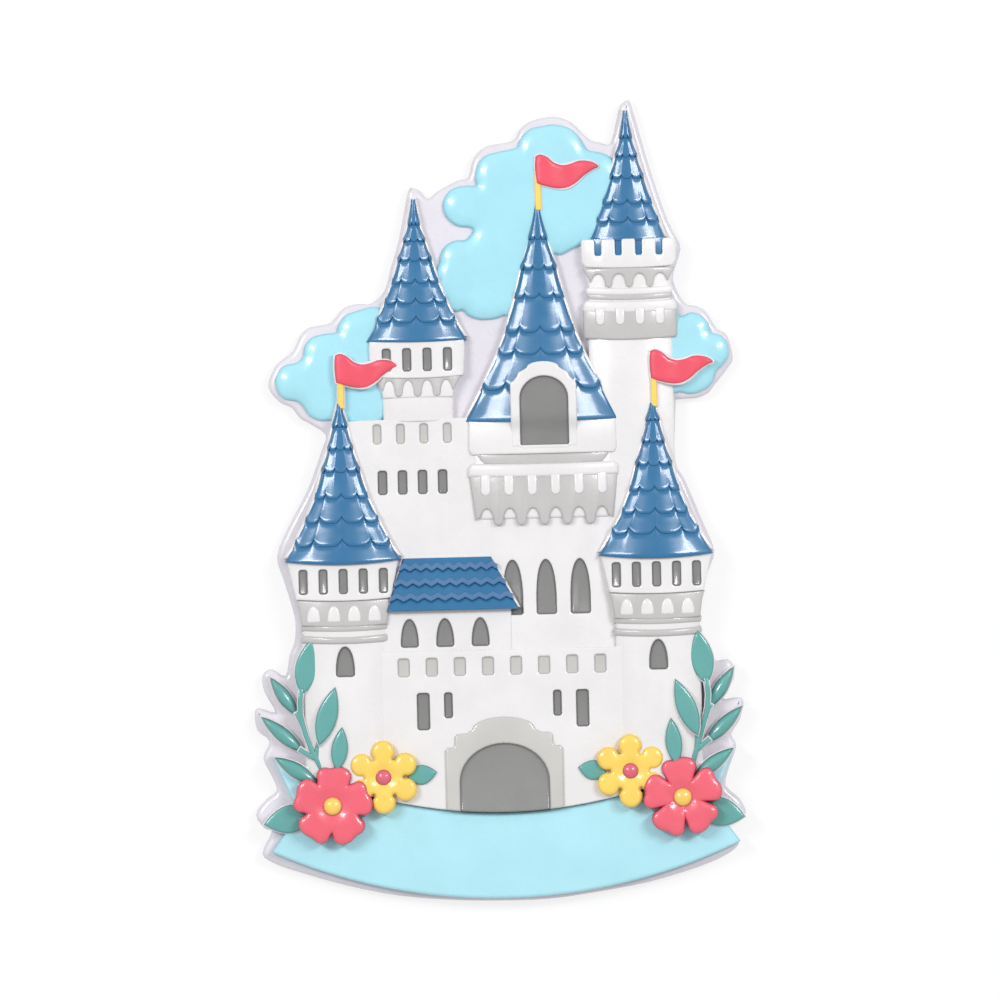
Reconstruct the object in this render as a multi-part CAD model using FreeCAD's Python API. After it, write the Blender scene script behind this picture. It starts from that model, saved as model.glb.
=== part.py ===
import FreeCAD, Part
import math
import os

os.makedirs("parts", exist_ok=True)

# A fairy-tale castle in low relief, cast in one piece with a flat back.
# It lies on its back: +X to the right, +Y up the castle, +Z out of its face.
# The origin is on the back, under the middle of the gate, halfway up the plaque.

# Backing plate, which follows the outline of all that stands on it
plate_thickness = 2.4
plate_margin = 1.15
plate_shift_left = 0.35
plate_shift_up = 0.3

# Small steps and recesses in the face
window_depth = 0.6
niche_depth = 0.35
merlon_step = 0.3
shingle_lip = 0.3

# Every height below named side or crown is measured from the front of the plate:
# a round tower has straight sides up to its side, and a round front up to its crown.

# Corner towers, one each side of the gate
corner_axis = 23.4
corner_roof_base = -8.6
left_roof_height = 23.6
right_roof_height = 22.7
corner_roof_half_width = 8.7
corner_roof_side = 3.2
corner_roof_crown = 5.4
corner_point_side = 2.5
corner_point_crown = 2.65
corner_roof_tiers = 7
corner_drum_top_half_width = 8.2
corner_drum_foot_half_width = 7.1
corner_drum_side = 2.9
corner_drum_crown = 4.8
corner_drum_height = 5.6
corner_window_count = 5
corner_window_pitch = 3.0
corner_window_width = 1.3
corner_window_height = 3.6
corner_window_drop = 1.0
corner_corbel_height = 3.35
corner_arch_count = 4
corner_arch_pitch = 3.0
corner_arch_width = 1.9
corner_arch_height = 2.6
corner_ring_half_width = 6.6
corner_ring_side = 2.8
corner_ring_crown = 4.5
corner_ring_height = 1.25
corner_ring_gap = 0.75
corner_shaft_half_width = 6.4
corner_shaft_side = 2.5
corner_shaft_crown = 4.2
corner_shaft_foot = -43.5
porthole_width = 2.7
porthole_height = 4.4
porthole_drop = 0.8

# Central tower with its dormer
central_axis = 6.9
central_roof_base = 11.8
central_roof_height = 32.2
central_roof_half_width = 11.55
central_roof_side = 2.7
central_roof_crown = 4.6
central_roof_tiers = 7
central_drum_half_width = 11.2
central_drum_side = 2.3
central_drum_crown = 3.8
central_drum_height = 4.8
central_groove_half_width = 10.4
central_groove_side = 1.9
central_groove_crown = 3.3
central_groove_height = 1.6
central_ledge_height = 1.4
central_band_half_width = 11.3
central_band_foot_half_width = 10.3
central_band_side = 2.2
central_band_crown = 3.9
central_band_height = 7.5
central_tongue_count = 6
central_tongue_pitch = 3.5
central_tongue_width = 1.4
central_tongue_height = 3.3
central_arch_width = 2.1
central_arch_height = 2.0
central_shaft_half_width = 9.6
central_shaft_side = 1.8
central_shaft_crown = 3.0
lancet_count = 3
lancet_pitch = 5.1
lancet_width = 3.0
lancet_height = 8.25
lancet_drop = 5.6
dormer_rise = 4.9
dormer_half_width = 4.95
dormer_inner_half_width = 3.8
dormer_brow_half_width = 2.6
dormer_sill_drop = 3.6
dormer_shoulder_height = 9.5
dormer_step_height = 11.2
dormer_crown_height = 12.5
dormer_window_half_width = 3.6
dormer_spring_height = 7.1
dormer_window_height = 10.1
dormer_window_depth = 0.9

# Tall tower, behind and to the right
tall_axis = 20.4
tall_roof_base = 38.6
tall_roof_height = 19.1
tall_roof_half_width = 5.7
tall_roof_side = 1.4
tall_roof_crown = 2.6
tall_roof_tiers = 5
tall_parapet_half_width = 7.1
tall_parapet_side = 1.6
tall_parapet_crown = 3.0
tall_parapet_height = 4.1
tall_corbel_height = 2.6
tall_bay_count = 4
tall_bay_pitch = 3.05
tall_slot_width = 1.05
tall_slot_height = 2.4
tall_arch_width = 1.6
tall_arch_height = 1.5
tall_collar_half_width = 6.4
tall_collar_side = 1.4
tall_collar_crown = 2.6
tall_collar_drop = 1.2
tall_collar_height = 0.8
tall_band_half_width = 7.05
tall_band_side = 1.5
tall_band_crown = 2.9
tall_band_drop = 1.6
tall_band_height = 4.5
tall_tongue_width = 1.3
tall_tongue_height = 2.4
tall_shaft_half_width = 6.15
tall_shaft_side = 1.2
tall_shaft_crown = 2.3

# Middle tower, behind and to the left
middle_axis = -11.6
middle_roof_base = 24.2
middle_roof_height = 21.1
middle_roof_half_width = 7.5
middle_roof_side = 1.7
middle_roof_crown = 3.2
middle_roof_tiers = 6
middle_drum_half_width = 7.15
middle_drum_side = 1.6
middle_drum_crown = 2.9
middle_drum_height = 5.5
middle_bay_count = 4
middle_bay_pitch = 3.0
middle_window_width = 1.3
middle_window_height = 3.5
middle_window_drop = 1.1
middle_corbel_height = 2.8
middle_arch_width = 1.7
middle_arch_height = 1.9
middle_shaft_half_width = 5.25
middle_shaft_side = 1.2
middle_shaft_crown = 2.2

# Curtain wall between the left corner tower and the central tower
curtain_left = -21.8
curtain_top = 12.4
curtain_rise = 1.9
curtain_bay_axis = -12.6
curtain_bay_count = 4
curtain_slot_pitch = 3.5
curtain_slot_width = 1.2
curtain_slot_height = 2.9
curtain_slot_drop = 0.7
curtain_window_pitch = 3.0
curtain_window_width = 1.35
curtain_window_height = 3.5
curtain_window_drop = 7.7

# Front wall between the corner towers, with a row of crenels and four slits
front_top = -22.6
front_rise = 3.0
crenel_count = 8
crenel_pitch = 4.2
crenel_width = 1.7
crenel_height = 2.6
crenel_drop = 0.8
wide_slit_offset = 11.9
wide_slit_width = 1.85
wide_slit_height = 5.5
narrow_slit_offset = 8.15
narrow_slit_width = 1.2
narrow_slit_height = 3.8
slit_drop = 6.0

# Gate in the middle of the front wall
gate_rise = 3.5
gate_half_width = 8.8
gate_inner_half_width = 7.3
gate_brow_half_width = 5.1
gate_shoulder_height = 9.8
gate_step_height = 11.7
gate_crown_height = 14.1
door_depth = 1.1
door_half_width = 6.65
door_spring_height = 4.7
door_height = 10.3

# Hall over the left half of the front wall, and its gable roof of three courses
hall_right = 1.4
hall_window_count = 3
hall_window_pitch = 5.3
hall_window_axis = -8.4
hall_window_width = 2.55
hall_window_height = 4.2
hall_window_drop = 1.3
gable_top = -8.3
gable_foot = -16.2
gable_top_left = -14.6
gable_top_right = -1.1
gable_foot_left = -16.9
gable_foot_right = 2.7
gable_top_rise = 2.6
gable_foot_rise = 4.1
gable_courses = 3

# Banner across the foot, with a swallow tail at each end
banner_rise = 1.9
banner_top_middle = -46.6
banner_top_reach = 34.6
banner_top_tip = -37.9
banner_foot_middle = -59.6
banner_foot_reach = 35.1
banner_foot_tip = -51.9
banner_notch_reach = 30.9
banner_notch_height = -46.1

# Flags, one on each of three roofs, drawn from the foot of the hoist
pole_width = 0.85
pole_height = 3.4
flag_overlap = 0.7
flag_step = 0.3
flag_upper_edge = [(0, 4.0), (1.7, 4.0), (3.5, 2.65), (6.5, 3.2), (9.4, 2.35)]
flag_lower_edge = [(9.4, 2.35), (7.0, 0.7), (4.8, -0.95), (1.9, -0.7), (0, 0)]

# Clouds, each a heap of round lobes given by centre and radius
cloud_rise = 1.0
left_cloud = [(-20.1, 25.7, 3.0), (-25.7, 22.7, 3.0), (-30.3, 18.2, 2.7), (-25.6, 15.6, 3.1)]
left_cloud += [(-21.1, 14.8, 3.0)]
high_cloud = [(8.3, 52.0, 4.0), (16.2, 47.9, 3.9), (12.5, 39.8, 3.0), (-0.8, 30.0, 3.0), (-4.7, 35.7, 3.3)]
high_cloud += [(-4.1, 43.9, 3.3), (1.5, 48.4, 3.8)]
right_cloud = [(28.4, 26.0, 2.7), (30.6, 24.6, 2.5), (32.5, 21.3, 2.7), (29.5, 18.2, 3.0)]
right_cloud += [(26.6, 19.6, 3.0), (24.0, 23.0, 3.0)]

# Flowers at the foot of each corner tower
rose_offset = 26.2
rose_height = -45.05
rose_rise = 5.0
rose_petals = 5
rose_turn = 10.0
rose_petal_reach = 6.1
rose_lobe_radius = 2.0
rose_lobe_spread = 19.0
rose_heart_radius = 3.4
rose_button_radius = 1.45
daisy_offset = 18.5
daisy_height = -41.05
daisy_rise = 4.6
daisy_petals = 6
daisy_petal_reach = 5.5
daisy_petal_radius = 1.65
daisy_neck_width = 2.7
daisy_heart_radius = 2.7
daisy_button_radius = 1.2
button_step = 0.6
button_slope = 0.4

# Leaves of one spray: the base, the tip, the width and how far the leaf rises
spray_leaves = [
    ((30.2, -27.7), (28.8, -20.3), 3.3, 3.4),
    ((31.0, -31.4), (34.6, -25.8), 1.85, 1.4),
    ((28.3, -35.4), (25.5, -27.4), 2.85, 4.5),
    ((30.3, -36.8), (36.0, -31.7), 2.0, 1.4),
    ((25.3, -40.4), (24.5, -33.4), 2.4, 4.6),
    ((28.0, -41.9), (34.3, -37.8), 2.0, 3.6),
    ((29.4, -46.5), (35.9, -47.9), 4.1, 2.6),
    ((15.6, -41.0), (10.6, -40.3), 3.0, 3.5),
]
stem_points = [(30.4, -27.0), (30.3, -30.4), (29.7, -33.2), (29.0, -36.0), (28.3, -38.3), (27.4, -41.0)]
stem_width = 0.7
stem_rise = 3.6
twigs = [((31.3, -30.9), (29.6, -33.4)), ((30.8, -36.4), (28.4, -38.0)), ((28.3, -34.9), (28.4, -38.0))]

# Shape of every spire: how fast it flares, and what is left of it at its point
spire_flare = 1.35
point_half_width = 0.4
point_side = 1.4
point_crown = 1.55


def point(x, y, z=0.0):
    return FreeCAD.Vector(x, y, z)


def spread(count, pitch):
    """Places of a row of like things, centred on zero."""
    return [(index - (count - 1) / 2) * pitch for index in range(count)]


def polygon_face(corners):
    ring = [point(x, y) for x, y in corners]
    return Part.Face(Part.makePolygon(ring + ring[:1]))


def disc_face(x, y, radius):
    circle = Part.Circle(point(x, y), point(0, 0, 1), radius)
    return Part.Face(Part.Wire(circle.toShape()))


def joined_face(faces):
    """Overlapping flat outlines made one, all facing the same way, with no hole."""
    for face in faces:
        if face.normalAt(0, 0).z < 0:
            face.reverse()
    joined = faces[0].fuse(faces[1:]).removeSplitter()
    return Part.Face(joined.Faces[0].OuterWire)


def raised(face, rise):
    """A flat outline raised from inside the plate to a height above its front."""
    foot = plate_thickness / 2
    moved = face.translated(point(0, 0, foot))
    return moved.extrude(point(0, 0, plate_thickness - foot + rise))


def barrel_height(offset, half_width, side, crown):
    """How far a round tower stands out of the plate at an offset from its axis."""
    swell = crown - side
    radius = (half_width ** 2 + swell ** 2) / (2 * swell)
    return crown - radius + math.sqrt(radius ** 2 - offset ** 2)


def barrel_section(axis, y, half_width, side, crown):
    """Outline across a tower: a round front on straight sides rooted in the plate."""
    foot = plate_thickness / 2
    left = point(axis - half_width, y, plate_thickness + side)
    top = point(axis, y, plate_thickness + crown)
    right = point(axis + half_width, y, plate_thickness + side)
    right_foot = point(axis + half_width, y, foot)
    left_foot = point(axis - half_width, y, foot)
    edges = [
        Part.Arc(left, top, right).toShape(),
        Part.LineSegment(right, right_foot).toShape(),
        Part.LineSegment(right_foot, left_foot).toShape(),
        Part.LineSegment(left_foot, left).toShape(),
    ]
    return Part.Wire(edges)


def barrel(axis, rows):
    """A round-fronted length of tower through rows of (y, half width, side, crown)."""
    sections = [barrel_section(axis, *row) for row in rows]
    return Part.makeLoft(sections, True, True)


def barrel_shadow(axis, rows):
    """The outline that such a length covers on the plate."""
    left_side = [(axis - half_width, y) for y, half_width, side, crown in rows]
    right_side = [(axis + half_width, y) for y, half_width, side, crown in reversed(rows)]
    return polygon_face(left_side + right_side)


def box_face(left, top, right, foot):
    return polygon_face([(left, top), (right, top), (right, foot), (left, foot)])


def slot_face(axis, top, width, height):
    return box_face(axis - width / 2, top, axis + width / 2, top - height)


def arch_face(axis, top, width, height):
    """A window or niche with straight sides and a half-round head."""
    half = width / 2
    spring = top - half
    sill = top - height
    edges = [
        Part.Arc(point(axis - half, spring), point(axis, top), point(axis + half, spring)).toShape(),
        Part.LineSegment(point(axis + half, spring), point(axis + half, sill)).toShape(),
        Part.LineSegment(point(axis + half, sill), point(axis - half, sill)).toShape(),
        Part.LineSegment(point(axis - half, sill), point(axis - half, spring)).toShape(),
    ]
    return Part.Face(Part.Wire(edges))


def doorway_face(axis, sill, half_width, spring_height, height):
    """A wide arch whose head is flatter than a half circle."""
    left = point(axis - half_width, sill + spring_height)
    crown = point(axis, sill + height)
    right = point(axis + half_width, sill + spring_height)
    edges = [
        Part.Arc(left, crown, right).toShape(),
        Part.LineSegment(right, point(axis + half_width, sill)).toShape(),
        Part.LineSegment(point(axis + half_width, sill), point(axis - half_width, sill)).toShape(),
        Part.LineSegment(point(axis - half_width, sill), left).toShape(),
    ]
    return Part.Face(Part.Wire(edges))


def stepped_arch_face(axis, sill, widths, heights):
    """A stone surround with two square shoulders under a round brow."""
    outer, inner, brow = widths
    shoulder, step, crown = heights
    left = [
        point(axis - outer, sill),
        point(axis - outer, sill + shoulder),
        point(axis - inner, sill + shoulder),
        point(axis - inner, sill + step),
        point(axis - brow, sill + step),
    ]
    right = [point(2 * axis - corner.x, corner.y) for corner in reversed(left)]
    edges = [Part.LineSegment(a, b).toShape() for a, b in zip(left, left[1:])]
    edges.append(Part.Arc(left[-1], point(axis, sill + crown), right[0]).toShape())
    edges += [Part.LineSegment(a, b).toShape() for a, b in zip(right, right[1:])]
    edges.append(Part.LineSegment(right[-1], left[0]).toShape())
    return Part.Face(Part.Wire(edges))


def recess(face, surface_rise, depth):
    """A pocket whose floor lies a depth below the surface it is cut in."""
    floor = plate_thickness + surface_rise - depth
    clear = corner_roof_crown + rose_rise
    return face.translated(point(0, 0, floor)).extrude(point(0, 0, clear))


def barrel_recesses(face_at, offsets, surface, depth):
    """A row of pockets round a tower, each as deep as the next."""
    return [recess(face_at(offset), barrel_height(offset, *surface), depth) for offset in offsets]


def spire(axis, base, height, foot, tip, tiers):
    """A flared roof of overlapping tiers, with its outline on the plate."""
    half_width, side, crown = foot
    tip_side, tip_crown = tip

    def row(tier, tuck):
        share = tier / tiers
        return (
            base + height * (1 - share),
            point_half_width + (half_width - point_half_width) * share ** spire_flare - tuck,
            tip_side + (side - tip_side) * share - tuck,
            tip_crown + (crown - tip_crown) * share - tuck,
        )

    solids = []
    for tier in range(tiers):
        tuck = shingle_lip if tier else 0
        solids.append(barrel(axis, [row(tier, tuck), row(tier + 1, 0)]))
    outline = barrel_shadow(axis, [row(tier, 0) for tier in range(tiers + 1)])
    return solids, outline


def flag(axis, roof_top, roof_crown):
    """A waving pennant on its pole, which is rooted in the point of a roof."""
    hoist_foot = roof_top + pole_height
    hoist_top = hoist_foot + flag_upper_edge[0][1]
    half = pole_width / 2
    pole = box_face(axis - half, (hoist_foot + hoist_top) / 2, axis + half, roof_top - pole_width)
    left = axis - flag_overlap

    def edge(places):
        curve = Part.BSplineCurve()
        curve.interpolate([point(left + x, hoist_foot + y) for x, y in places])
        return curve.toShape()

    hoist = Part.LineSegment(point(left, hoist_foot), point(left, hoist_top)).toShape()
    cloth = Part.Face(Part.Wire([edge(flag_upper_edge), edge(flag_lower_edge), hoist]))
    return [raised(pole, roof_crown), raised(cloth, roof_crown + flag_step)], [pole, cloth]


def cloud(lobes):
    """A puff of round lobes about the outline that joins their centres."""
    heart = polygon_face([(x, y) for x, y, radius in lobes])
    puff = joined_face([heart] + [disc_face(x, y, radius) for x, y, radius in lobes])
    return [raised(puff, cloud_rise)], [puff]


def leaf_face(base, tip, width):
    """A leaf between two arcs that meet at its base and its tip."""
    middle_x = (base[0] + tip[0]) / 2
    middle_y = (base[1] + tip[1]) / 2
    length = math.hypot(tip[0] - base[0], tip[1] - base[1])
    across_x = -(tip[1] - base[1]) / length * width / 2
    across_y = (tip[0] - base[0]) / length * width / 2
    start = point(*base)
    end = point(*tip)
    one = Part.Arc(start, point(middle_x + across_x, middle_y + across_y), end)
    other = Part.Arc(end, point(middle_x - across_x, middle_y - across_y), start)
    return Part.Face(Part.Wire([one.toShape(), other.toShape()]))


def strip_face(start, end, width):
    """A straight strip with square ends between two points."""
    length = math.hypot(end[0] - start[0], end[1] - start[1])
    across_x = -(end[1] - start[1]) / length * width / 2
    across_y = (end[0] - start[0]) / length * width / 2
    return polygon_face([
        (start[0] + across_x, start[1] + across_y),
        (end[0] + across_x, end[1] + across_y),
        (end[0] - across_x, end[1] - across_y),
        (start[0] - across_x, start[1] - across_y),
    ])


def spray(side):
    """Leaves, stem and twigs beside one corner tower."""
    solids = []
    leaves = []
    for base, tip, width, rise in spray_leaves:
        leaf = leaf_face((side * base[0], base[1]), (side * tip[0], tip[1]), width)
        leaves.append(leaf)
        solids.append(raised(leaf, rise))
    runs = list(zip(stem_points, stem_points[1:])) + twigs
    stalk = joined_face([
        strip_face((side * start[0], start[1]), (side * end[0], end[1]), stem_width)
        for start, end in runs
    ])
    solids.append(raised(stalk, stem_rise))
    return solids, leaves


def button(x, y, radius, rise):
    """The domed heart of a flower."""
    foot = plate_thickness + rise - button_step
    plug = Part.makeCylinder(radius, 2 * button_step, point(x, y, foot))
    rim = [edge for edge in plug.Edges if edge.BoundBox.ZMin > foot + button_step]
    return plug.makeChamfer(button_slope, rim)


def round_about(x, y, reach, degrees):
    """A place at a reach from a flower's middle, turned up from the right."""
    angle = math.radians(degrees)
    return x + reach * math.cos(angle), y + reach * math.sin(angle)


def rose(side):
    """A red flower whose five petals each end in two lobes."""
    x = side * rose_offset
    reach = rose_petal_reach - rose_lobe_radius
    faces = [disc_face(x, rose_height, rose_heart_radius)]
    for petal in range(rose_petals):
        middle = 90 + side * rose_turn + petal * 360 / rose_petals
        for turn in (-rose_lobe_spread, rose_lobe_spread):
            place = round_about(x, rose_height, reach, middle + turn)
            faces.append(disc_face(*place, rose_lobe_radius))
    bloom = joined_face(faces)
    return [raised(bloom, rose_rise), button(x, rose_height, rose_button_radius, rose_rise)], [bloom]


def daisy(side):
    """A yellow flower of six round petals."""
    x = side * daisy_offset
    reach = daisy_petal_reach - daisy_petal_radius
    faces = [disc_face(x, daisy_height, daisy_heart_radius)]
    for petal in range(daisy_petals):
        place = round_about(x, daisy_height, reach, 90 + petal * 360 / daisy_petals)
        faces.append(disc_face(*place, daisy_petal_radius))
        faces.append(strip_face((x, daisy_height), place, daisy_neck_width))
    bloom = joined_face(faces)
    return [raised(bloom, daisy_rise), button(x, daisy_height, daisy_button_radius, daisy_rise)], [bloom]


def corner_tower(side):
    """Round tower with a tall spire, a window drum, a corbel and two rings."""
    axis = side * corner_axis
    roof_height = right_roof_height if side > 0 else left_roof_height
    drum_foot = corner_roof_base - corner_drum_height
    corbel_foot = drum_foot - corner_corbel_height
    second_ring = corbel_foot - corner_ring_height - corner_ring_gap
    drum = (corner_drum_foot_half_width, corner_drum_side, corner_drum_crown)
    shaft = (corner_shaft_half_width, corner_shaft_side, corner_shaft_crown)
    ring = (corner_ring_half_width, corner_ring_side, corner_ring_crown)
    solids, roof_shadow = spire(
        axis, corner_roof_base, roof_height,
        (corner_roof_half_width, corner_roof_side, corner_roof_crown),
        (corner_point_side, corner_point_crown), corner_roof_tiers,
    )
    body = [
        (corner_roof_base, corner_drum_top_half_width, corner_drum_side, corner_drum_crown),
        (drum_foot, *drum),
        (corbel_foot, *shaft),
        (corner_shaft_foot, *shaft),
    ]
    solids.append(barrel(axis, body))
    for ring_top in (corbel_foot, second_ring):
        solids.append(barrel(axis, [(ring_top, *ring), (ring_top - corner_ring_height, *ring)]))

    window_top = corner_roof_base - corner_window_drop
    cuts = barrel_recesses(
        lambda offset: slot_face(axis + offset, window_top, corner_window_width, corner_window_height),
        spread(corner_window_count, corner_window_pitch), drum, window_depth,
    )
    arch_top = corbel_foot + corner_arch_height
    cuts += barrel_recesses(
        lambda offset: arch_face(axis + offset, arch_top, corner_arch_width, corner_arch_height),
        spread(corner_arch_count, corner_arch_pitch), shaft, niche_depth,
    )
    porthole_top = second_ring - corner_ring_height - porthole_drop
    porthole = arch_face(axis, porthole_top, porthole_width, porthole_height)
    cuts.append(recess(porthole, corner_shaft_crown, window_depth))
    return solids, [roof_shadow, barrel_shadow(axis, body)], cuts


def tongues(axis, top, count, pitch, width, height, surface):
    """A row of stone tongues that hang over a band, a step proud of it."""
    return [
        raised(slot_face(axis + offset, top, width, height), barrel_height(offset, *surface) + merlon_step)
        for offset in spread(count, pitch)
    ]


def dormer():
    """Stone surround with a dark round-headed window, set in the central roof."""
    sill = central_roof_base - dormer_sill_drop
    surround = stepped_arch_face(
        central_axis, sill,
        (dormer_half_width, dormer_inner_half_width, dormer_brow_half_width),
        (dormer_shoulder_height, dormer_step_height, dormer_crown_height),
    )
    window = doorway_face(
        central_axis, sill, dormer_window_half_width, dormer_spring_height, dormer_window_height
    )
    return [raised(surround, dormer_rise)], [], [recess(window, dormer_rise, dormer_window_depth)]


def central_tower():
    """The widest tower: drum, groove, ledge, tongued band and shaft."""
    axis = central_axis
    drum_foot = central_roof_base - central_drum_height
    groove_foot = drum_foot - central_groove_height
    ledge_foot = groove_foot - central_ledge_height
    band_foot = ledge_foot - central_band_height
    drum = (central_drum_half_width, central_drum_side, central_drum_crown)
    groove = (central_groove_half_width, central_groove_side, central_groove_crown)
    band = (central_band_half_width, central_band_side, central_band_crown)
    band_end = (central_band_foot_half_width, central_band_side, central_band_crown)
    ledge = (central_band_half_width, central_band_side + merlon_step, central_band_crown + merlon_step)
    shaft = (central_shaft_half_width, central_shaft_side, central_shaft_crown)
    solids, roof_shadow = spire(
        axis, central_roof_base, central_roof_height,
        (central_roof_half_width, central_roof_side, central_roof_crown),
        (point_side, point_crown), central_roof_tiers,
    )
    lengths = [
        [(central_roof_base, *drum), (drum_foot, *drum)],
        [(drum_foot, *groove), (groove_foot, *groove)],
        [(groove_foot, *ledge), (ledge_foot, *ledge)],
        [(ledge_foot, *band), (band_foot, *band_end)],
        [(band_foot, *shaft), (front_top, *shaft)],
    ]
    solids += [barrel(axis, rows) for rows in lengths]
    solids += tongues(
        axis, ledge_foot, central_tongue_count, central_tongue_pitch,
        central_tongue_width, central_tongue_height, band,
    )
    arch_top = band_foot + central_arch_height
    cuts = barrel_recesses(
        lambda offset: arch_face(axis + offset, arch_top, central_arch_width, central_arch_height),
        spread(central_tongue_count, central_tongue_pitch), band_end, niche_depth,
    )
    lancet_top = band_foot - lancet_drop
    cuts += barrel_recesses(
        lambda offset: arch_face(axis + offset, lancet_top, lancet_width, lancet_height),
        spread(lancet_count, lancet_pitch), shaft, window_depth,
    )
    return solids, [roof_shadow] + [barrel_shadow(axis, rows) for rows in lengths], cuts


def tall_tower():
    """Slender tower with a parapet, a corbel, a collar and a tongued band."""
    axis = tall_axis
    parapet_foot = tall_roof_base - tall_parapet_height
    corbel_foot = parapet_foot - tall_corbel_height
    collar_top = corbel_foot - tall_collar_drop
    collar_foot = collar_top - tall_collar_height
    band_top = collar_foot - tall_band_drop
    band_foot = band_top - tall_band_height
    parapet = (tall_parapet_half_width, tall_parapet_side, tall_parapet_crown)
    collar = (tall_collar_half_width, tall_collar_side, tall_collar_crown)
    band = (tall_band_half_width, tall_band_side, tall_band_crown)
    shaft = (tall_shaft_half_width, tall_shaft_side, tall_shaft_crown)
    solids, roof_shadow = spire(
        axis, tall_roof_base, tall_roof_height,
        (tall_roof_half_width, tall_roof_side, tall_roof_crown),
        (point_side, point_crown), tall_roof_tiers,
    )
    shaft_foot = corner_roof_base
    body = [(tall_roof_base, *parapet), (parapet_foot, *parapet), (corbel_foot, *shaft), (shaft_foot, *shaft)]
    band_rows = [(band_top, *band), (band_foot, *band)]
    solids.append(barrel(axis, body))
    solids.append(barrel(axis, [(collar_top, *collar), (collar_foot, *collar)]))
    solids.append(barrel(axis, band_rows))
    solids += tongues(
        axis, band_top, tall_bay_count, tall_bay_pitch, tall_tongue_width, tall_tongue_height, band
    )
    bays = spread(tall_bay_count, tall_bay_pitch)
    cuts = barrel_recesses(
        lambda offset: slot_face(axis + offset, tall_roof_base, tall_slot_width, tall_slot_height),
        bays, parapet, window_depth,
    )
    arch_top = corbel_foot + tall_arch_height
    cuts += barrel_recesses(
        lambda offset: arch_face(axis + offset, arch_top, tall_arch_width, tall_arch_height),
        bays, shaft, niche_depth,
    )
    return solids, [roof_shadow, barrel_shadow(axis, body), barrel_shadow(axis, band_rows)], cuts


def middle_tower():
    """Short tower between the left cloud and the central tower."""
    axis = middle_axis
    drum_foot = middle_roof_base - middle_drum_height
    corbel_foot = drum_foot - middle_corbel_height
    drum = (middle_drum_half_width, middle_drum_side, middle_drum_crown)
    shaft = (middle_shaft_half_width, middle_shaft_side, middle_shaft_crown)
    solids, roof_shadow = spire(
        axis, middle_roof_base, middle_roof_height,
        (middle_roof_half_width, middle_roof_side, middle_roof_crown),
        (point_side, point_crown), middle_roof_tiers,
    )
    shaft_foot = curtain_top - curtain_slot_drop
    body = [(middle_roof_base, *drum), (drum_foot, *drum), (corbel_foot, *shaft), (shaft_foot, *shaft)]
    solids.append(barrel(axis, body))
    bays = spread(middle_bay_count, middle_bay_pitch)
    window_top = middle_roof_base - middle_window_drop
    cuts = barrel_recesses(
        lambda offset: slot_face(axis + offset, window_top, middle_window_width, middle_window_height),
        bays, drum, window_depth,
    )
    arch_top = corbel_foot + middle_arch_height
    cuts += barrel_recesses(
        lambda offset: arch_face(axis + offset, arch_top, middle_arch_width, middle_arch_height),
        bays, shaft, niche_depth,
    )
    return solids, [roof_shadow, barrel_shadow(axis, body)], cuts


def curtain_wall():
    """Flat wall behind the hall, with a row of crenels over a row of windows."""
    wall = box_face(curtain_left, curtain_top, central_axis, gable_foot)
    slot_top = curtain_top - curtain_slot_drop
    window_top = curtain_top - curtain_window_drop
    cuts = []
    for offset in spread(curtain_bay_count, curtain_slot_pitch):
        slot = slot_face(curtain_bay_axis + offset, slot_top, curtain_slot_width, curtain_slot_height)
        cuts.append(recess(slot, curtain_rise, niche_depth))
    for offset in spread(curtain_bay_count, curtain_window_pitch):
        window = slot_face(
            curtain_bay_axis + offset, window_top, curtain_window_width, curtain_window_height
        )
        cuts.append(recess(window, curtain_rise, window_depth))
    return [raised(wall, curtain_rise)], [wall], cuts


def front_wall():
    """Low wall between the corner towers, which stops along the top of the banner."""
    wall = box_face(-corner_axis, front_top, corner_axis, banner_foot_tip)
    above_banner = wall.cut(banner_face()).Faces[0]
    cuts = []
    for offset in spread(crenel_count, crenel_pitch):
        crenel = slot_face(offset, front_top - crenel_drop, crenel_width, crenel_height)
        cuts.append(recess(crenel, front_rise, niche_depth))
    slit_top = front_top - slit_drop
    for side in (-1, 1):
        wide = slot_face(side * wide_slit_offset, slit_top, wide_slit_width, wide_slit_height)
        narrow = slot_face(side * narrow_slit_offset, slit_top, narrow_slit_width, narrow_slit_height)
        cuts.append(recess(wide, front_rise, window_depth))
        cuts.append(recess(narrow, front_rise, window_depth))
    return [raised(above_banner, front_rise)], [above_banner], cuts


def gate():
    """Stepped stone surround with a deep round-headed door."""
    surround = stepped_arch_face(
        0, banner_top_middle,
        (gate_half_width, gate_inner_half_width, gate_brow_half_width),
        (gate_shoulder_height, gate_step_height, gate_crown_height),
    )
    door = doorway_face(0, banner_top_middle, door_half_width, door_spring_height, door_height)
    return [raised(surround, gate_rise)], [], [recess(door, gate_rise, door_depth)]


def hall():
    """Wall under the gable roof, in line with the front wall, with arched windows."""
    wall = box_face(-corner_axis, gable_foot, hall_right, front_top)
    window_top = gable_foot - hall_window_drop
    cuts = []
    for offset in spread(hall_window_count, hall_window_pitch):
        window = arch_face(hall_window_axis + offset, window_top, hall_window_width, hall_window_height)
        cuts.append(recess(window, front_rise, window_depth))
    return [raised(wall, front_rise)], [wall], cuts


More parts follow.
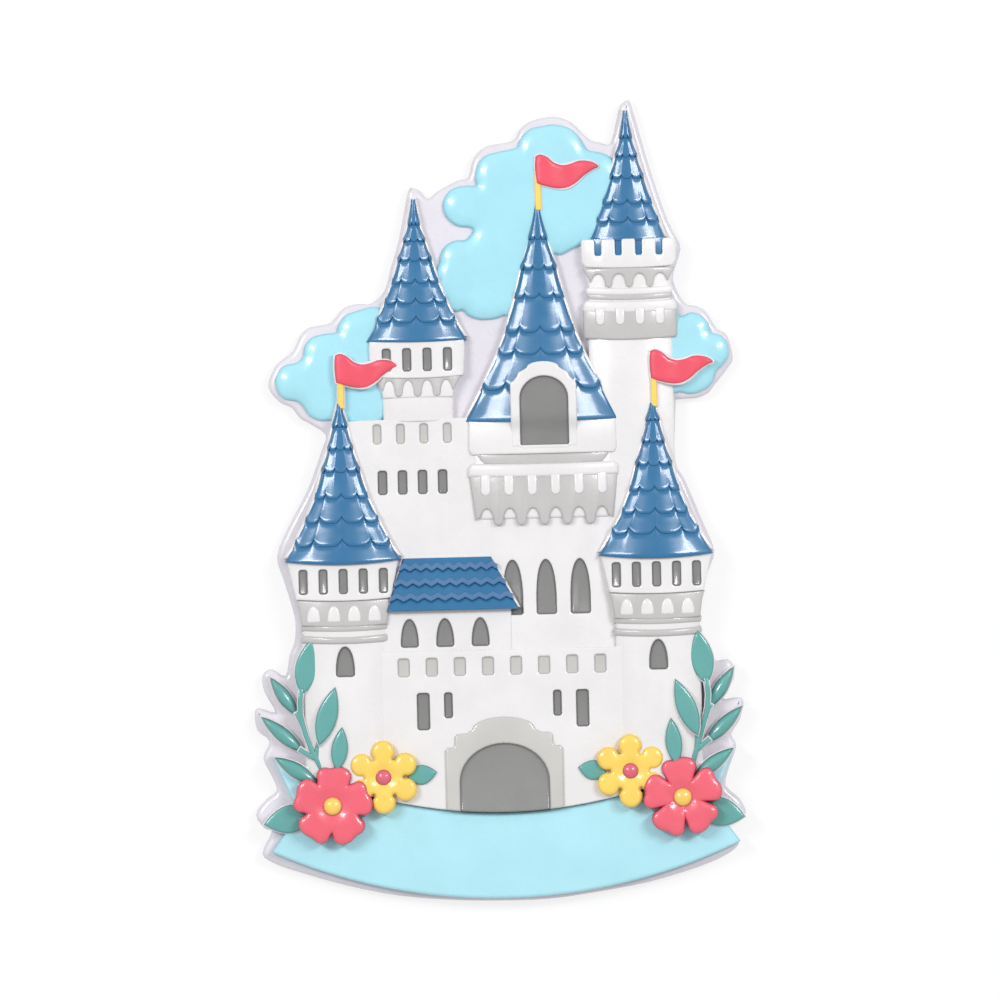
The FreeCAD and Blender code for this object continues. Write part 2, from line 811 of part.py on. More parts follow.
def gable_roof():
    """Sloping roof of shingle courses, each lapping over the next."""
    foot = plate_thickness / 2

    def section(share, tuck):
        y = gable_top + (gable_foot - gable_top) * share
        left = gable_top_left + (gable_foot_left - gable_top_left) * share
        right = gable_top_right + (gable_foot_right - gable_top_right) * share
        top = plate_thickness + gable_top_rise + (gable_foot_rise - gable_top_rise) * share - tuck
        ring = [point(left, y, foot), point(right, y, foot), point(right, y, top), point(left, y, top)]
        return Part.makePolygon(ring + ring[:1])

    solids = []
    for course in range(gable_courses):
        tuck = shingle_lip if course else 0
        upper = section(course / gable_courses, tuck)
        lower = section((course + 1) / gable_courses, 0)
        solids.append(Part.makeLoft([upper, lower], True, True))
    return solids, [], []


def banner_face():
    """Ribbon between two shallow arcs, notched at both ends."""
    top_left = point(-banner_top_reach, banner_top_tip)
    top_right = point(banner_top_reach, banner_top_tip)
    foot_left = point(-banner_foot_reach, banner_foot_tip)
    foot_right = point(banner_foot_reach, banner_foot_tip)
    notch_left = point(-banner_notch_reach, banner_notch_height)
    notch_right = point(banner_notch_reach, banner_notch_height)
    edges = [
        Part.Arc(top_left, point(0, banner_top_middle), top_right).toShape(),
        Part.LineSegment(top_right, notch_right).toShape(),
        Part.LineSegment(notch_right, foot_right).toShape(),
        Part.Arc(foot_right, point(0, banner_foot_middle), foot_left).toShape(),
        Part.LineSegment(foot_left, notch_left).toShape(),
        Part.LineSegment(notch_left, top_left).toShape(),
    ]
    return Part.Face(Part.Wire(edges))


def banner():
    ribbon = banner_face()
    return [raised(ribbon, banner_rise)], [ribbon], []


def backing_plate(shadows):
    """One flat plate a margin wider all round than the art that it carries."""
    outline = joined_face([face.makeOffset2D(plate_margin) for face in shadows])
    placed = outline.translated(point(-plate_shift_left, plate_shift_up))
    return placed.extrude(point(0, 0, plate_thickness))


# Each group gives its solids, the outlines that it covers and what is cut into it
carved = [
    tall_tower(), middle_tower(), curtain_wall(), central_tower(), dormer(), hall(), gable_roof(),
    corner_tower(-1), corner_tower(1), front_wall(), gate(), banner(),
]
plain = [cloud(lobes) for lobes in (left_cloud, high_cloud, right_cloud)]
plain.append(flag(-corner_axis, corner_roof_base + left_roof_height, corner_point_crown))
plain.append(flag(corner_axis, corner_roof_base + right_roof_height, corner_point_crown))
plain.append(flag(central_axis, central_roof_base + central_roof_height, point_crown))
for side in (-1, 1):
    plain += [spray(side), daisy(side), rose(side)]

solids = [solid for group in carved + plain for solid in group[0]]
shadows = [face for group in carved + plain for face in group[1]]
cuts = [tool for group in carved for tool in group[2]]
plate = backing_plate(shadows)
castle_plaque = plate.fuse(solids).cut(Part.makeCompound(cuts)).removeSplitter()
castle_plaque.exportStep("parts/castle_plaque.step")
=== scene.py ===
import math
import bpy
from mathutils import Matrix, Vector


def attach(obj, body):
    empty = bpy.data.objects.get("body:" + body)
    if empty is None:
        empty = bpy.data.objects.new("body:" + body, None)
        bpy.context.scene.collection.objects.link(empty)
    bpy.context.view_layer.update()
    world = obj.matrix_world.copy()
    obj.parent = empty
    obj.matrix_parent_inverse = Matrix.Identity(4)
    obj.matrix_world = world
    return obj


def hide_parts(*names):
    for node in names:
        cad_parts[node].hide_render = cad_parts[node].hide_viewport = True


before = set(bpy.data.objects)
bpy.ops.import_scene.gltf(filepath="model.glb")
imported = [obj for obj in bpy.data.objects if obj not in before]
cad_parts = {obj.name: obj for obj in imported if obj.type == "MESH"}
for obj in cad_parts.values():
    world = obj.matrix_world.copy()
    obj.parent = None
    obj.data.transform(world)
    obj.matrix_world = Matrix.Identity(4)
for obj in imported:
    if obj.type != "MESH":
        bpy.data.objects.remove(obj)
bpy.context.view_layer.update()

# Camera: it looks straight down on the plaque, which lies on its back. The plaque
# is turned a little in the view, and a long lens keeps its height from spreading.
MM = 0.001
camera_height = 1.5
view_width = 0.150
view_turn = math.radians(-1.4)
view_middle = (0.3 * MM, 0.0)
lens = bpy.data.cameras.new("overhead_camera")
lens.lens = lens.sensor_width * camera_height / view_width
camera = bpy.data.objects.new("overhead_camera", lens)
camera.location = (*view_middle, camera_height)
camera.rotation_euler = (0, 0, view_turn)
bpy.context.collection.objects.link(camera)
bpy.context.scene.camera = camera
bpy.context.scene.view_settings.view_transform = "Standard"

# Light: a pale room, and two narrow soft boxes above the castle's left and right
# shoulders that put a pair of highlights on every round wall and roof.
box_side, box_up, box_height = 0.46, 0.27, 0.75
box_width, box_length = 0.13, 0.34
box_power = 3.1
for name, side in (("soft_box_left", -1), ("soft_box_right", 1)):
    lamp = bpy.data.lights.new(name, "AREA")
    lamp.shape = "RECTANGLE"
    lamp.size = box_width
    lamp.size_y = box_length
    lamp.energy = box_power
    box = bpy.data.objects.new(name, lamp)
    box.location = (side * box_side, box_up, box_height)
    box.rotation_euler = (-box.location).to_track_quat("-Z", "Y").to_euler()
    bpy.context.collection.objects.link(box)
room = bpy.data.worlds.new("pale_room")
room.use_nodes = True
room.node_tree.nodes["Background"].inputs["Color"].default_value = (1.0, 1.0, 1.0, 1.0)
room.node_tree.nodes["Background"].inputs["Strength"].default_value = 0.55
bpy.context.scene.world = room


# Floor: a white sweep under the plaque. Bare floor glows to a clean white in the view,
# and the plaque's soft shadow stays on it.
def node_maker(tree):
    """Adds a node, sets its settings, and sets or joins its inputs by name or by place."""
    def add(kind, settings=(), **inputs):
        node = tree.nodes.new(kind)
        for name, value in dict(settings).items():
            setattr(node, name, value)
        for name, value in inputs.items():
            socket = node.inputs[int(name[1:]) if name[1:].isdigit() else name.replace("_", " ")]
            if isinstance(value, bpy.types.NodeSocket):
                tree.links.new(value, socket)
            else:
                socket.default_value = value
        return node
    return add


white_floor = bpy.data.materials.new("white_floor")
white_floor.use_nodes = True
white_floor.node_tree.nodes.clear()
add = node_maker(white_floor.node_tree)
matt = add("ShaderNodeBsdfDiffuse", Color=(0.95, 0.95, 0.95, 1.0))
glow = add("ShaderNodeEmission", Color=(1.0, 1.0, 1.0, 1.0), Strength=1.0)
path = add("ShaderNodeLightPath")
seen = add("ShaderNodeMath", {"operation": "MAXIMUM"}, _0=path.outputs["Is Camera Ray"],
           _1=path.outputs["Is Glossy Ray"])
share = add("ShaderNodeMath", {"operation": "MULTIPLY"}, _0=seen.outputs[0], _1=0.75)
blend = add("ShaderNodeMixShader", _0=share.outputs[0], _1=matt.outputs[0], _2=glow.outputs[0])
add("ShaderNodeOutputMaterial", Surface=blend.outputs[0])

bpy.ops.object.select_all(action="DESELECT")
bpy.ops.mesh.primitive_plane_add(size=3.0, location=(0, 0, -0.05 * MM))
floor = bpy.context.object
floor.name = "white_sweep"
floor.data.materials.append(white_floor)


# Backing plate: cast resin the shape of the whole outline and a little wider than
# the art, with a flat back and a soft edge, sprayed off-white.
FACE = 2.4
ROOT = 1.2


def paint(red, green, blue):
    """A screen colour, 0 to 255, as the linear colour that shaders take."""
    shares = [value / 255 for value in (red, green, blue)]
    return (*[s / 12.92 if s <= 0.04045 else ((s + 0.055) / 1.055) ** 2.4 for s in shares], 1.0)


def brushed_gloss_group():
    """Hand-brushed gloss paint, with painted shade darkening it down steep edges, faint strokes and a few
    specks.
    """
    group = bpy.data.node_groups.new("brushed_gloss", "ShaderNodeTree")
    for name, kind, way in (
        ("Colour", "NodeSocketColor", "INPUT"), ("Edge Colour", "NodeSocketColor", "INPUT"),
        ("Unevenness", "NodeSocketFloat", "INPUT"), ("Colour", "NodeSocketColor", "OUTPUT"),
        ("Roughness", "NodeSocketFloat", "OUTPUT"), ("Height", "NodeSocketFloat", "OUTPUT"),
    ):
        group.interface.new_socket(name, in_out=way, socket_type=kind)
    add = node_maker(group)
    given = add("NodeGroupInput")
    place = add("ShaderNodeTexCoord")
    spot = place.outputs["Object"]
    pool = add("ShaderNodeTexNoise", Vector=spot, Scale=160.0, Detail=3.0)
    strokes_place = add("ShaderNodeMapping", Vector=spot, Scale=(0.35, 1.6, 1.0), Rotation=(0.0, 0.0, 0.5))
    strokes = add("ShaderNodeTexNoise", Vector=strokes_place.outputs[0], Scale=700.0, Detail=2.0)
    peel = add("ShaderNodeTexNoise", Vector=spot, Scale=420.0, Detail=2.0)
    specks = add("ShaderNodeTexVoronoi", Vector=spot, Scale=150.0)
    speck = add("ShaderNodeMapRange", Value=specks.outputs["Distance"], From_Min=0.03, From_Max=0.05)
    chance = add("ShaderNodeSeparateColor", Color=specks.outputs["Color"])
    bare = add("ShaderNodeMath", {"operation": "GREATER_THAN"}, _0=chance.outputs[0], _1=0.03)
    clean = add("ShaderNodeMath", {"operation": "MAXIMUM"}, _0=speck.outputs[0], _1=bare.outputs[0])

    # Painted shade: where the surface turns steep, on rounded edges and the sides of recesses, the colour
    # fades to the edge shading colour.
    slope = add("ShaderNodeSeparateXYZ", Vector=place.outputs["Normal"])
    flatness = add("ShaderNodeMapRange", Value=slope.outputs["Z"], From_Min=0.30, From_Max=0.82)
    tint = add("ShaderNodeMapRange", Value=pool.outputs[0], From_Min=0.3, From_Max=0.7, To_Min=0.965,
               To_Max=1.03)
    shade = add("ShaderNodeMapRange", Value=clean.outputs[0], To_Min=0.6, To_Max=1.0)
    tone = add("ShaderNodeMath", {"operation": "MULTIPLY"}, _0=tint.outputs[0], _1=shade.outputs[0])
    toned = add("ShaderNodeVectorMath", {"operation": "SCALE"}, _0=given.outputs["Colour"],
                Scale=tone.outputs[0])
    mixed = add("ShaderNodeMix", {"data_type": "RGBA"}, _0=flatness.outputs[0],
                _6=given.outputs["Edge Colour"], _7=toned.outputs[0])
    rough = add("ShaderNodeMapRange", Value=peel.outputs[0], From_Min=0.3, From_Max=0.7, To_Min=0.22,
                To_Max=0.36)
    height = add("ShaderNodeMath", {"operation": "ADD"}, _0=strokes.outputs[0], _1=peel.outputs[0])
    uneven = add("ShaderNodeMath", {"operation": "MULTIPLY"}, _0=height.outputs[0],
                 _1=given.outputs["Unevenness"])
    add("NodeGroupOutput", _0=mixed.outputs[2], _1=rough.outputs[0], _2=uneven.outputs[0])
    return group


brushed_gloss = brushed_gloss_group()


def gloss_paint(name, colour, edge_shading_colour, unevenness=1.0, coat=0.5):
    """One paint: its colour on the flat, and a darker tone painted down its steep edges as painted shade."""
    material = bpy.data.materials.new(name)
    material.use_nodes = True
    material.node_tree.nodes.clear()
    add = node_maker(material.node_tree)
    surface = add("ShaderNodeGroup", {"node_tree": brushed_gloss}, Colour=colour, Edge_Colour=edge_shading_colour,
                  Unevenness=unevenness)
    bump = add("ShaderNodeBump", Height=surface.outputs["Height"], Strength=0.3, Distance=0.05 * MM)
    shader = add("ShaderNodeBsdfPrincipled", Base_Color=surface.outputs["Colour"],
                 Roughness=surface.outputs["Roughness"], Normal=bump.outputs[0])
    shader.inputs["Coat Weight"].default_value = coat
    shader.inputs["Coat Roughness"].default_value = 0.09
    add("ShaderNodeOutputMaterial", Surface=shader.outputs[0])
    return material


def only(piece):
    """Selects one piece and nothing else, ready for an operator."""
    bpy.ops.object.select_all(action="DESELECT")
    piece.select_set(True)
    bpy.context.view_layer.objects.active = piece


def flowing(points, steps=4):
    """A smooth closed line through given places; one marked "corner" stays sharp."""
    line = []
    count = len(points)
    for index in range(count):
        before, start, end, after = [points[(index + shift) % count] for shift in (-1, 0, 1, 2)]
        if len(start) > 2:
            before = start
        if len(end) > 2:
            after = end
        for step in range(steps):
            t = step / steps
            line.append(tuple(
                start[axis] + 0.5 * t * (
                    end[axis] - before[axis]
                    + t * (2 * before[axis] - 5 * start[axis] + 4 * end[axis] - after[axis])
                    + t * t * (3 * start[axis] - before[axis] - 3 * end[axis] + after[axis])
                ) for axis in (0, 1)
            ))
    return line


def pad(name, outlines, foot, top, rounding, grow=0.0):
    """A raised shape with a rounded edge, in millimetres; further outlines are holes in it."""
    curve = bpy.data.curves.new(name, "CURVE")
    curve.dimensions = "2D"
    curve.fill_mode = "BOTH"
    curve.extrude = ((top - foot) / 2 - rounding) * MM
    curve.bevel_depth = rounding * MM
    curve.bevel_resolution = 3
    curve.offset = (grow - rounding) * MM
    for outline in outlines:
        spline = curve.splines.new("POLY")
        spline.points.add(len(outline) - 1)
        for knot, (x, y) in zip(spline.points, outline):
            knot.co = (x * MM, y * MM, 0, 1)
        spline.use_cyclic_u = True
    piece = bpy.data.objects.new(name, curve)
    bpy.context.collection.objects.link(piece)
    only(piece)
    bpy.ops.object.convert(target="MESH")
    piece = bpy.context.object
    bpy.ops.object.mode_set(mode="EDIT")
    bpy.ops.mesh.select_all(action="SELECT")
    bpy.ops.mesh.remove_doubles(threshold=0.002 * MM)
    if len(outlines) == 1:
        bpy.ops.mesh.dissolve_limited(angle_limit=math.radians(0.2))
    bpy.ops.mesh.normals_make_consistent(inside=False)
    bpy.ops.transform.translate(value=(0, 0, (top + foot) / 2 * MM))
    bpy.ops.object.mode_set(mode="OBJECT")
    return piece


def finish(piece, material, crease=42):
    """Paints a piece, smooths its rounded edges and fixes it to the plaque."""
    piece.data.materials.clear()
    piece.data.materials.append(material)
    only(piece)
    bpy.ops.object.shade_smooth_by_angle(angle=math.radians(crease))
    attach(piece, "root")
    return piece


plate_outline = [
    (-34.0, 17.8), (-33.0, 20.6), (-31.8, 21.8), (-30.2, 23.0), (-29.1, 25.2), (-27.9, 26.4),
    (-26.1, 26.8), (-24.3, 27.2), (-22.3, 29.4), (-20.0, 29.9), (-18.2, 29.9), (-16.2, 31.9),
    (-15.1, 35.6), (-13.9, 39.4), (-12.4, 46.4), (-11.5, 47.0), (-10.6, 46.6), (-9.4, 45.3),
    (-8.0, 46.4), (-4.9, 48.0), (-3.3, 48.4), (-2.5, 51.1), (-0.5, 53.0), (3.4, 53.7),
    (4.6, 55.4), (6.2, 56.6), (8.4, 57.1), (9.9, 57.2), (12.2, 56.4), (14.8, 53.8),
    (16.6, 53.2), (18.2, 53.1), (19.4, 57.8), (20.0, 58.9), (20.8, 59.4), (21.5, 58.3),
    (24.0, 48.9), (26.5, 41.1), (28.2, 37.6), (27.9, 35.6), (27.0, 32.4), (28.6, 28.9),
    (30.2, 28.4), (31.7, 27.6), (33.4, 24.9), (34.9, 23.8), (35.7, 20.6), (35.0, 19.1),
    (32.9, 16.5), (31.9, 15.3), (30.2, 14.6), (28.4, 14.5), (27.0, 14.4, "corner"), (26.7, 5.4),
    (28.1, 2.3), (30.6, -4.0), (32.2, -8.3), (31.2, -11.5), (29.9, -15.7), (29.7, -17.5),
    (29.8, -19.9), (31.4, -23.0), (31.8, -24.8), (33.9, -24.7), (34.7, -26.0), (34.6, -27.8),
    (32.8, -30.5), (35.2, -30.4), (36.0, -31.0), (35.5, -33.6), (34.1, -35.9), (34.8, -37.7),
    (33.6, -41.0), (33.1, -43.6), (35.2, -45.7), (35.9, -48.1), (33.1, -49.1), (34.9, -51.8),
    (33.5, -53.6), (28.9, -55.6), (21.4, -57.7), (13.8, -59.0), (6.3, -59.9), (-1.2, -60.0),
    (-8.7, -59.7), (-16.2, -58.9), (-23.6, -57.3), (-31.1, -55.0), (-34.8, -53.6), (-36.6, -52.1),
    (-35.1, -48.9), (-36.2, -48.3), (-37.4, -46.3), (-35.9, -44.1), (-34.2, -42.7), (-34.9, -40.5),
    (-36.1, -37.8), (-35.1, -35.3), (-36.9, -33.6), (-37.2, -31.0), (-36.5, -30.3), (-34.1, -31.0),
    (-35.7, -27.9), (-35.9, -25.4), (-34.5, -24.5), (-32.5, -25.6), (-31.8, -22.5), (-31.0, -20.5),
    (-30.8, -17.5), (-31.4, -14.7), (-32.4, -11.2), (-33.3, -7.6), (-31.5, -3.3), (-28.5, 2.2),
    (-26.2, 8.2), (-25.6, 10.4), (-27.9, 12.1), (-29.4, 13.0), (-30.6, 14.6), (-32.4, 15.5),
]
plate_paint = gloss_paint("sprayed_off_white", paint(223, 219, 227), paint(205, 201, 211), 0.6, 0.3)
plate = pad("backing_plate", [flowing(plate_outline, 3)], 0.0, FACE, 0.8)
finish(plate, plate_paint)
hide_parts("castle_plaque")


# Clouds: flat pools of pale blue gloss paint on low swells of the casting, one
# beside each outer tower and a tall one behind the middle of the castle.
def cut_grid(piece, pitch, along=True):
    """Cuts a flat piece into strips, or into squares, so that its face can be shaped."""
    corners = [vertex.co for vertex in piece.data.vertices]
    low = [min(corner[axis] for corner in corners) for axis in (0, 1)]
    high = [max(corner[axis] for corner in corners) for axis in (0, 1)]
    only(piece)
    bpy.ops.object.mode_set(mode="EDIT")
    for axis in (0, 1) if along else (0,):
        cuts = max(1, round((high[axis] - low[axis]) / (pitch * MM)))
        for cut in range(1, cuts):
            place = [0, 0, 0]
            facing = [0, 0, 0]
            place[axis] = low[axis] + (high[axis] - low[axis]) * cut / cuts
            facing[axis] = 1
            bpy.ops.mesh.select_all(action="SELECT")
            bpy.ops.mesh.bisect(plane_co=place, plane_no=facing)
    bpy.ops.object.mode_set(mode="OBJECT")
    return piece


def lift(piece, height):
    """Raises the face of a piece by a height worked out at each place, and leaves its root."""
    heights = [vertex.co.z for vertex in piece.data.vertices]
    middle = (min(heights) + max(heights)) / 2
    for vertex in piece.data.vertices:
        if vertex.co.z > middle:
            vertex.co.z += height(vertex.co.x / MM, vertex.co.y / MM) * MM
    return piece


def shoulder(outline, width, rise):
    """A height that climbs from an outline to a flat middle over a soft shoulder."""
    places = [Vector(place) for place in outline]
    sides = list(zip(places, places[1:] + places[:1]))

    def height(x, y):
        near = width
        for start, end in sides:
            along = end - start
            reach = max(0.0, min(1.0, (Vector((x, y)) - start).dot(along) / along.length_squared))
            near = min(near, (Vector((x, y)) - start - along * reach).length)
        return rise * (1 - (1 - near / width) ** 2)
    return height


cloud_paint = gloss_paint("cloud_blue", paint(166, 224, 238), paint(120, 192, 212), 0.8)
cloud_outlines = {
    "cloud_left": [
        (-17.0, 29.2), (-21.2, 28.6), (-22.5, 27.9), (-23.4, 26.5), (-23.6, 25.7), (-25.4, 25.5),
        (-27.3, 25.0), (-28.4, 23.7), (-28.7, 22.2), (-29.7, 21.3), (-31.5, 20.9), (-32.4, 20.0),
        (-32.9, 18.8), (-32.6, 17.0), (-31.6, 15.9), (-29.8, 15.5), (-28.9, 14.8), (-27.9, 13.3),
        (-26.4, 12.5), (-24.6, 12.5), (-21.9, 11.8), (-17.7, 11.9), (-15.6, 15.4), (-15.3, 24.4),
    ],
    "cloud_high": [
        (4.0, 52.7), (4.6, 53.9), (6.1, 55.4), (8.4, 55.9), (9.9, 56.0), (12.1, 55.4), (13.6, 53.9),
        (14.6, 52.2), (15.9, 51.8), (17.3, 51.4), (18.3, 50.6), (20.0, 47.5), (20.0, 44.5),
        (18.0, 39.2), (14.7, 38.2), (13.2, 37.8), (11.7, 37.1), (10.2, 36.4), (9.1, 36.3), (6.3, 31.4),
        (3.2, 27.5), (1.7, 27.6), (0.6, 27.2), (-0.9, 27.0), (-2.4, 27.1), (-3.8, 27.7), (-4.6, 28.5),
        (-5.8, 28.4), (-8.0, 30.2), (-8.5, 34.0), (-8.0, 35.6), (-7.8, 36.8), (-7.0, 38.2), (-5.5, 39.0),
        (-3.9, 39.1), (-2.8, 40.4), (-3.4, 40.9), (-5.0, 41.1), (-6.5, 42.2), (-7.2, 43.7), (-7.0, 45.2),
        (-5.8, 46.7), (-3.8, 47.2), (-2.2, 47.2), (-2.3, 48.4), (-1.8, 50.3), (-0.6, 51.6), (1.6, 52.2),
    ],
    "cloud_right": [
        (25.3, 29.4), (27.2, 28.8), (27.9, 26.9), (29.5, 27.4), (30.9, 27.0), (32.1, 25.9), (32.5, 24.4),
        (33.9, 23.9), (34.9, 22.7), (35.1, 20.9), (34.1, 19.4), (33.1, 18.4), (32.6, 16.9), (31.4, 15.8),
        (29.5, 15.2), (27.7, 15.5), (25.4, 16.5),
    ],
}
for name, outline in cloud_outlines.items():
    outline = flowing(outline)
    cloud = cut_grid(pad(name, [outline], ROOT, FACE + 0.6, 0.5), 0.55)
    finish(lift(cloud, shoulder(outline, 2.2, 0.65)), cloud_paint, 60)


# Tall tower, behind and to the right: a round white shaft with a grey toothed band, a
# thin collar, a hanging corbel and a parapet whose blue slots show the roof behind it.
def arc(x, y, across, up, start, end, steps=5):
    """Points along part of an ellipse, turned up from the right."""
    turns = [math.radians(start + (end - start) * step / steps) for step in range(steps + 1)]
    return [(x + across * math.cos(turn), y + up * math.sin(turn)) for turn in turns]


def rounded_box(left, top, right, foot, radius):
    corners = (
        (right - radius, top - radius, 0), (left + radius, top - radius, 90),
        (left + radius, foot + radius, 180), (right - radius, foot + radius, 270),
    )
    return [place for x, y, start in corners for place in arc(x, y, radius, radius, start, start + 90)]


def tapered(axis, rows, sag=0.0):
    """A tower's outline through rows of (y, half width), its top and foot bowed down by the sag."""
    steps = 8
    across = [2 * step / steps - 1 for step in range(steps + 1)]
    (top_y, top_half), (foot_y, foot_half) = rows[0], rows[-1]
    top = [(axis - u * top_half, top_y - sag * (1 - u * u)) for u in across]
    foot = [(axis + u * foot_half, foot_y - sag * (1 - u * u)) for u in across]
    left = [(axis - half, y) for y, half in rows[1:-1]]
    right = [(axis + half, y) for y, half in reversed(rows[1:-1])]
    return top + left + foot + right


def round_front(axis, half_width, side, crown):
    """The height of a round tower's face, from its side up to its crown."""
    swell = crown - side
    radius = (half_width ** 2 + swell ** 2) / (2 * swell)

    def height(x, y):
        offset = min(abs(x - axis), half_width)
        return FACE + crown - radius + math.sqrt(radius ** 2 - offset ** 2)
    return height


def level(rise):
    return lambda x, y: FACE + rise


def lowered(surface, drop):
    return lambda x, y: surface(x, y) - drop


def wall(name, outlines, surface, material, rounding=0.3, pitch=0.9, along=False):
    """A wall that follows a surface, with a soft edge round its outline and its openings."""
    depth = 3.0
    piece = pad(name, outlines, -depth, 0.0, rounding)
    cut_grid(piece, pitch, along)
    for vertex in piece.data.vertices:
        if vertex.co.z > -depth / 2 * MM:
            vertex.co.z += surface(vertex.co.x / MM, vertex.co.y / MM) * MM
        else:
            vertex.co.z = ROOT * MM
    return finish(piece, material)


def spread(axis, count, pitch):
    return [axis + (index - (count - 1) / 2) * pitch for index in range(count)]


def tongue(axis, top, width, length):
    """A hanging tongue: square above, round below."""
    half = width / 2
    return arc(axis, top - length + half, half, half, 180, 360, 8) + [(axis + half, top), (axis - half, top)]


def hanging_corbel(axis, top, top_half, foot, foot_half, bays, width, height):
    """A corbel with slanted ends, round arches cut up into its foot, and drops between them."""
    line = [(axis + foot_half, foot + 0.3), (axis + top_half, top), (axis - top_half, top)]
    line += [(axis - foot_half, foot + 0.3)]
    half = width / 2
    for bay, following in zip(bays, bays[1:] + [None]):
        line += arc(bay, foot, half, height, 180, 0, 8)[1:-1]
        if following:
            drop = (following - bay) / 2 - half
            line += arc((bay + following) / 2, foot, drop, 0.55, 180, 360, 5)
    return line


wall_paint = gloss_paint("wall_white", paint(231, 229, 230), paint(226, 223, 227), 0.7, 0.5)
grey_paint = gloss_paint("stone_grey", paint(193, 191, 190), paint(184, 182, 181))
roof_paint = gloss_paint("roof_blue", paint(40, 110, 157), paint(30, 86, 128), 0.7, 0.55)
tall_axis = 20.4
tall_front = round_front(tall_axis, 7.1, 1.7, 3.0)
wall("tall_shaft", [tapered(tall_axis, [(24.5, 6.3), (-9.0, 6.15)])], round_front(tall_axis, 6.5, 1.2, 2.4),
     wall_paint)
tall_body = [(38.3, 6.7), (35.0, 6.7), (33.0, 6.4), (31.4, 6.1), (29.4, 6.1), (28.9, 6.5), (24.4, 6.6),
             (23.8, 6.3)]
wall("tall_body", [tapered(tall_axis, tall_body)], lowered(tall_front, 0.55), wall_paint)
wall("tall_slot_backs", [rounded_box(tall_axis - 5.4, 38.9, tall_axis + 5.4, 35.6, 0.3)],
     lowered(tall_front, 0.4), roof_paint)
parapet = [(tall_axis + 7.1, 35.4), (tall_axis + 7.1, 38.2), (tall_axis + 6.9, 38.6)]
for bay in reversed(spread(tall_axis, 4, 3.05)):
    parapet += [(bay + 0.65, 38.6), (bay + 0.5, 38.3), (bay + 0.5, 36.4), (bay + 0.35, 36.15)]
    parapet += [(bay - 0.35, 36.15), (bay - 0.5, 36.4), (bay - 0.5, 38.3), (bay - 0.65, 38.6)]
parapet += [(tall_axis - 6.9, 38.6), (tall_axis - 7.1, 38.2), (tall_axis - 7.1, 35.4)]
parapet += [(tall_axis - 6.6, 34.6)]
parapet += arc(tall_axis, 34.6, 6.6, 0.35, 180, 360, 10)[1:]
wall("tall_parapet", [parapet], tall_front, wall_paint, 0.22)
corbel = hanging_corbel(tall_axis, 34.3, 6.9, 31.9, 5.8, spread(tall_axis, 4, 3.1), 2.1, 1.5)
wall("tall_corbel", [corbel], lowered(tall_front, 0.12), grey_paint, 0.25)
wall("tall_ledge", [tapered(tall_axis, [(31.5, 6.2), (31.0, 6.6), (30.4, 6.3)], 0.25)],
     lowered(tall_front, 0.2), wall_paint, 0.35)
wall("tall_collar", [tapered(tall_axis, [(30.5, 6.4), (30.0, 6.3), (29.7, 5.9)], 0.25)],
     lowered(tall_front, 0.3), grey_paint, 0.2)
wall("tall_band_top", [tapered(tall_axis, [(29.5, 6.5), (28.9, 7.0), (27.8, 7.05)], 0.25)],
     lowered(tall_front, 0.12), wall_paint, 0.4)
wall("tall_band", [tapered(tall_axis, [(28.2, 7.05), (24.4, 7.0), (23.8, 6.8)], 0.3)],
     lowered(tall_front, 0.15), grey_paint, 0.35)
for number, bay in enumerate(spread(tall_axis, 4, 3.0)):
    wall(f"tall_tongue_{number + 1}", [tongue(bay, 28.3, 1.4, 2.6)], lowered(tall_front, -0.1), wall_paint,
         0.3)


# Spired roofs: blue tiers of scalloped tiles, each lapping over the next one down and
# pressed into it along a fine groove, with a white edge where the brush stopped.
def smooth(share):
    share = max(0.0, min(1.0, share))
    return share * share * (3 - 2 * share)


def tier(name, top, foot, span, face, upper_wave, own_wave, lip, even=False):
    """One tier: a sheet from under the lip above it to its own waved lip, closed down to the plate."""
    columns, rows = 100, 18
    tuck = 0.3 if upper_wave else 0.0
    groove_width, groove_depth = 0.5, 0.1
    lip_roll = 0.86
    bpy.ops.object.select_all(action="DESELECT")
    bpy.ops.mesh.primitive_grid_add(x_subdivisions=columns, y_subdivisions=rows, size=2)
    piece = bpy.context.object
    piece.name = name
    for vertex in piece.data.vertices:
        turn = 90 * vertex.co.x
        across = vertex.co.x if even else math.sin(math.radians(turn))
        down = smooth((1 - vertex.co.y) / 2)
        left, right = span(down)
        half = (right - left) / 2
        x = (left + right) / 2 + across * half
        y = top + tuck + (foot - top - tuck) * down + own_wave(turn) * down ** 3
        if upper_wave:
            y += upper_wave(turn) * (1 - down) ** 2
        roll = min(0.5, 0.8 * half)
        over = max(0.0, abs(across) * half - (half - roll))
        height = face(x, y, across, half) - roll + math.sqrt(max(0.0, roll ** 2 - over ** 2))
        if upper_wave:
            height -= groove_depth * (1 - smooth((top + upper_wave(turn) - y) / groove_width))
        rolled = max(0.0, (down - lip_roll) / (1 - lip_roll))
        height += lip * down ** 1.3 * math.sqrt(max(0.0, 1 - rolled ** 2))
        vertex.co = (x * MM, y * MM, height * MM)
    only(piece)
    bpy.ops.object.mode_set(mode="EDIT")
    bpy.ops.mesh.select_all(action="DESELECT")
    bpy.ops.mesh.select_non_manifold()
    bpy.ops.mesh.extrude_edges_move()
    bpy.ops.object.mode_set(mode="OBJECT")
    for vertex in piece.data.vertices:
        if vertex.select:
            vertex.co.z = ROOT * MM
    bpy.ops.object.mode_set(mode="EDIT")
    bpy.ops.mesh.edge_face_add()
    bpy.ops.mesh.select_all(action="SELECT")
    bpy.ops.mesh.normals_make_consistent(inside=False)
    bpy.ops.object.mode_set(mode="OBJECT")
    return finish(piece, roof_paint, 60)


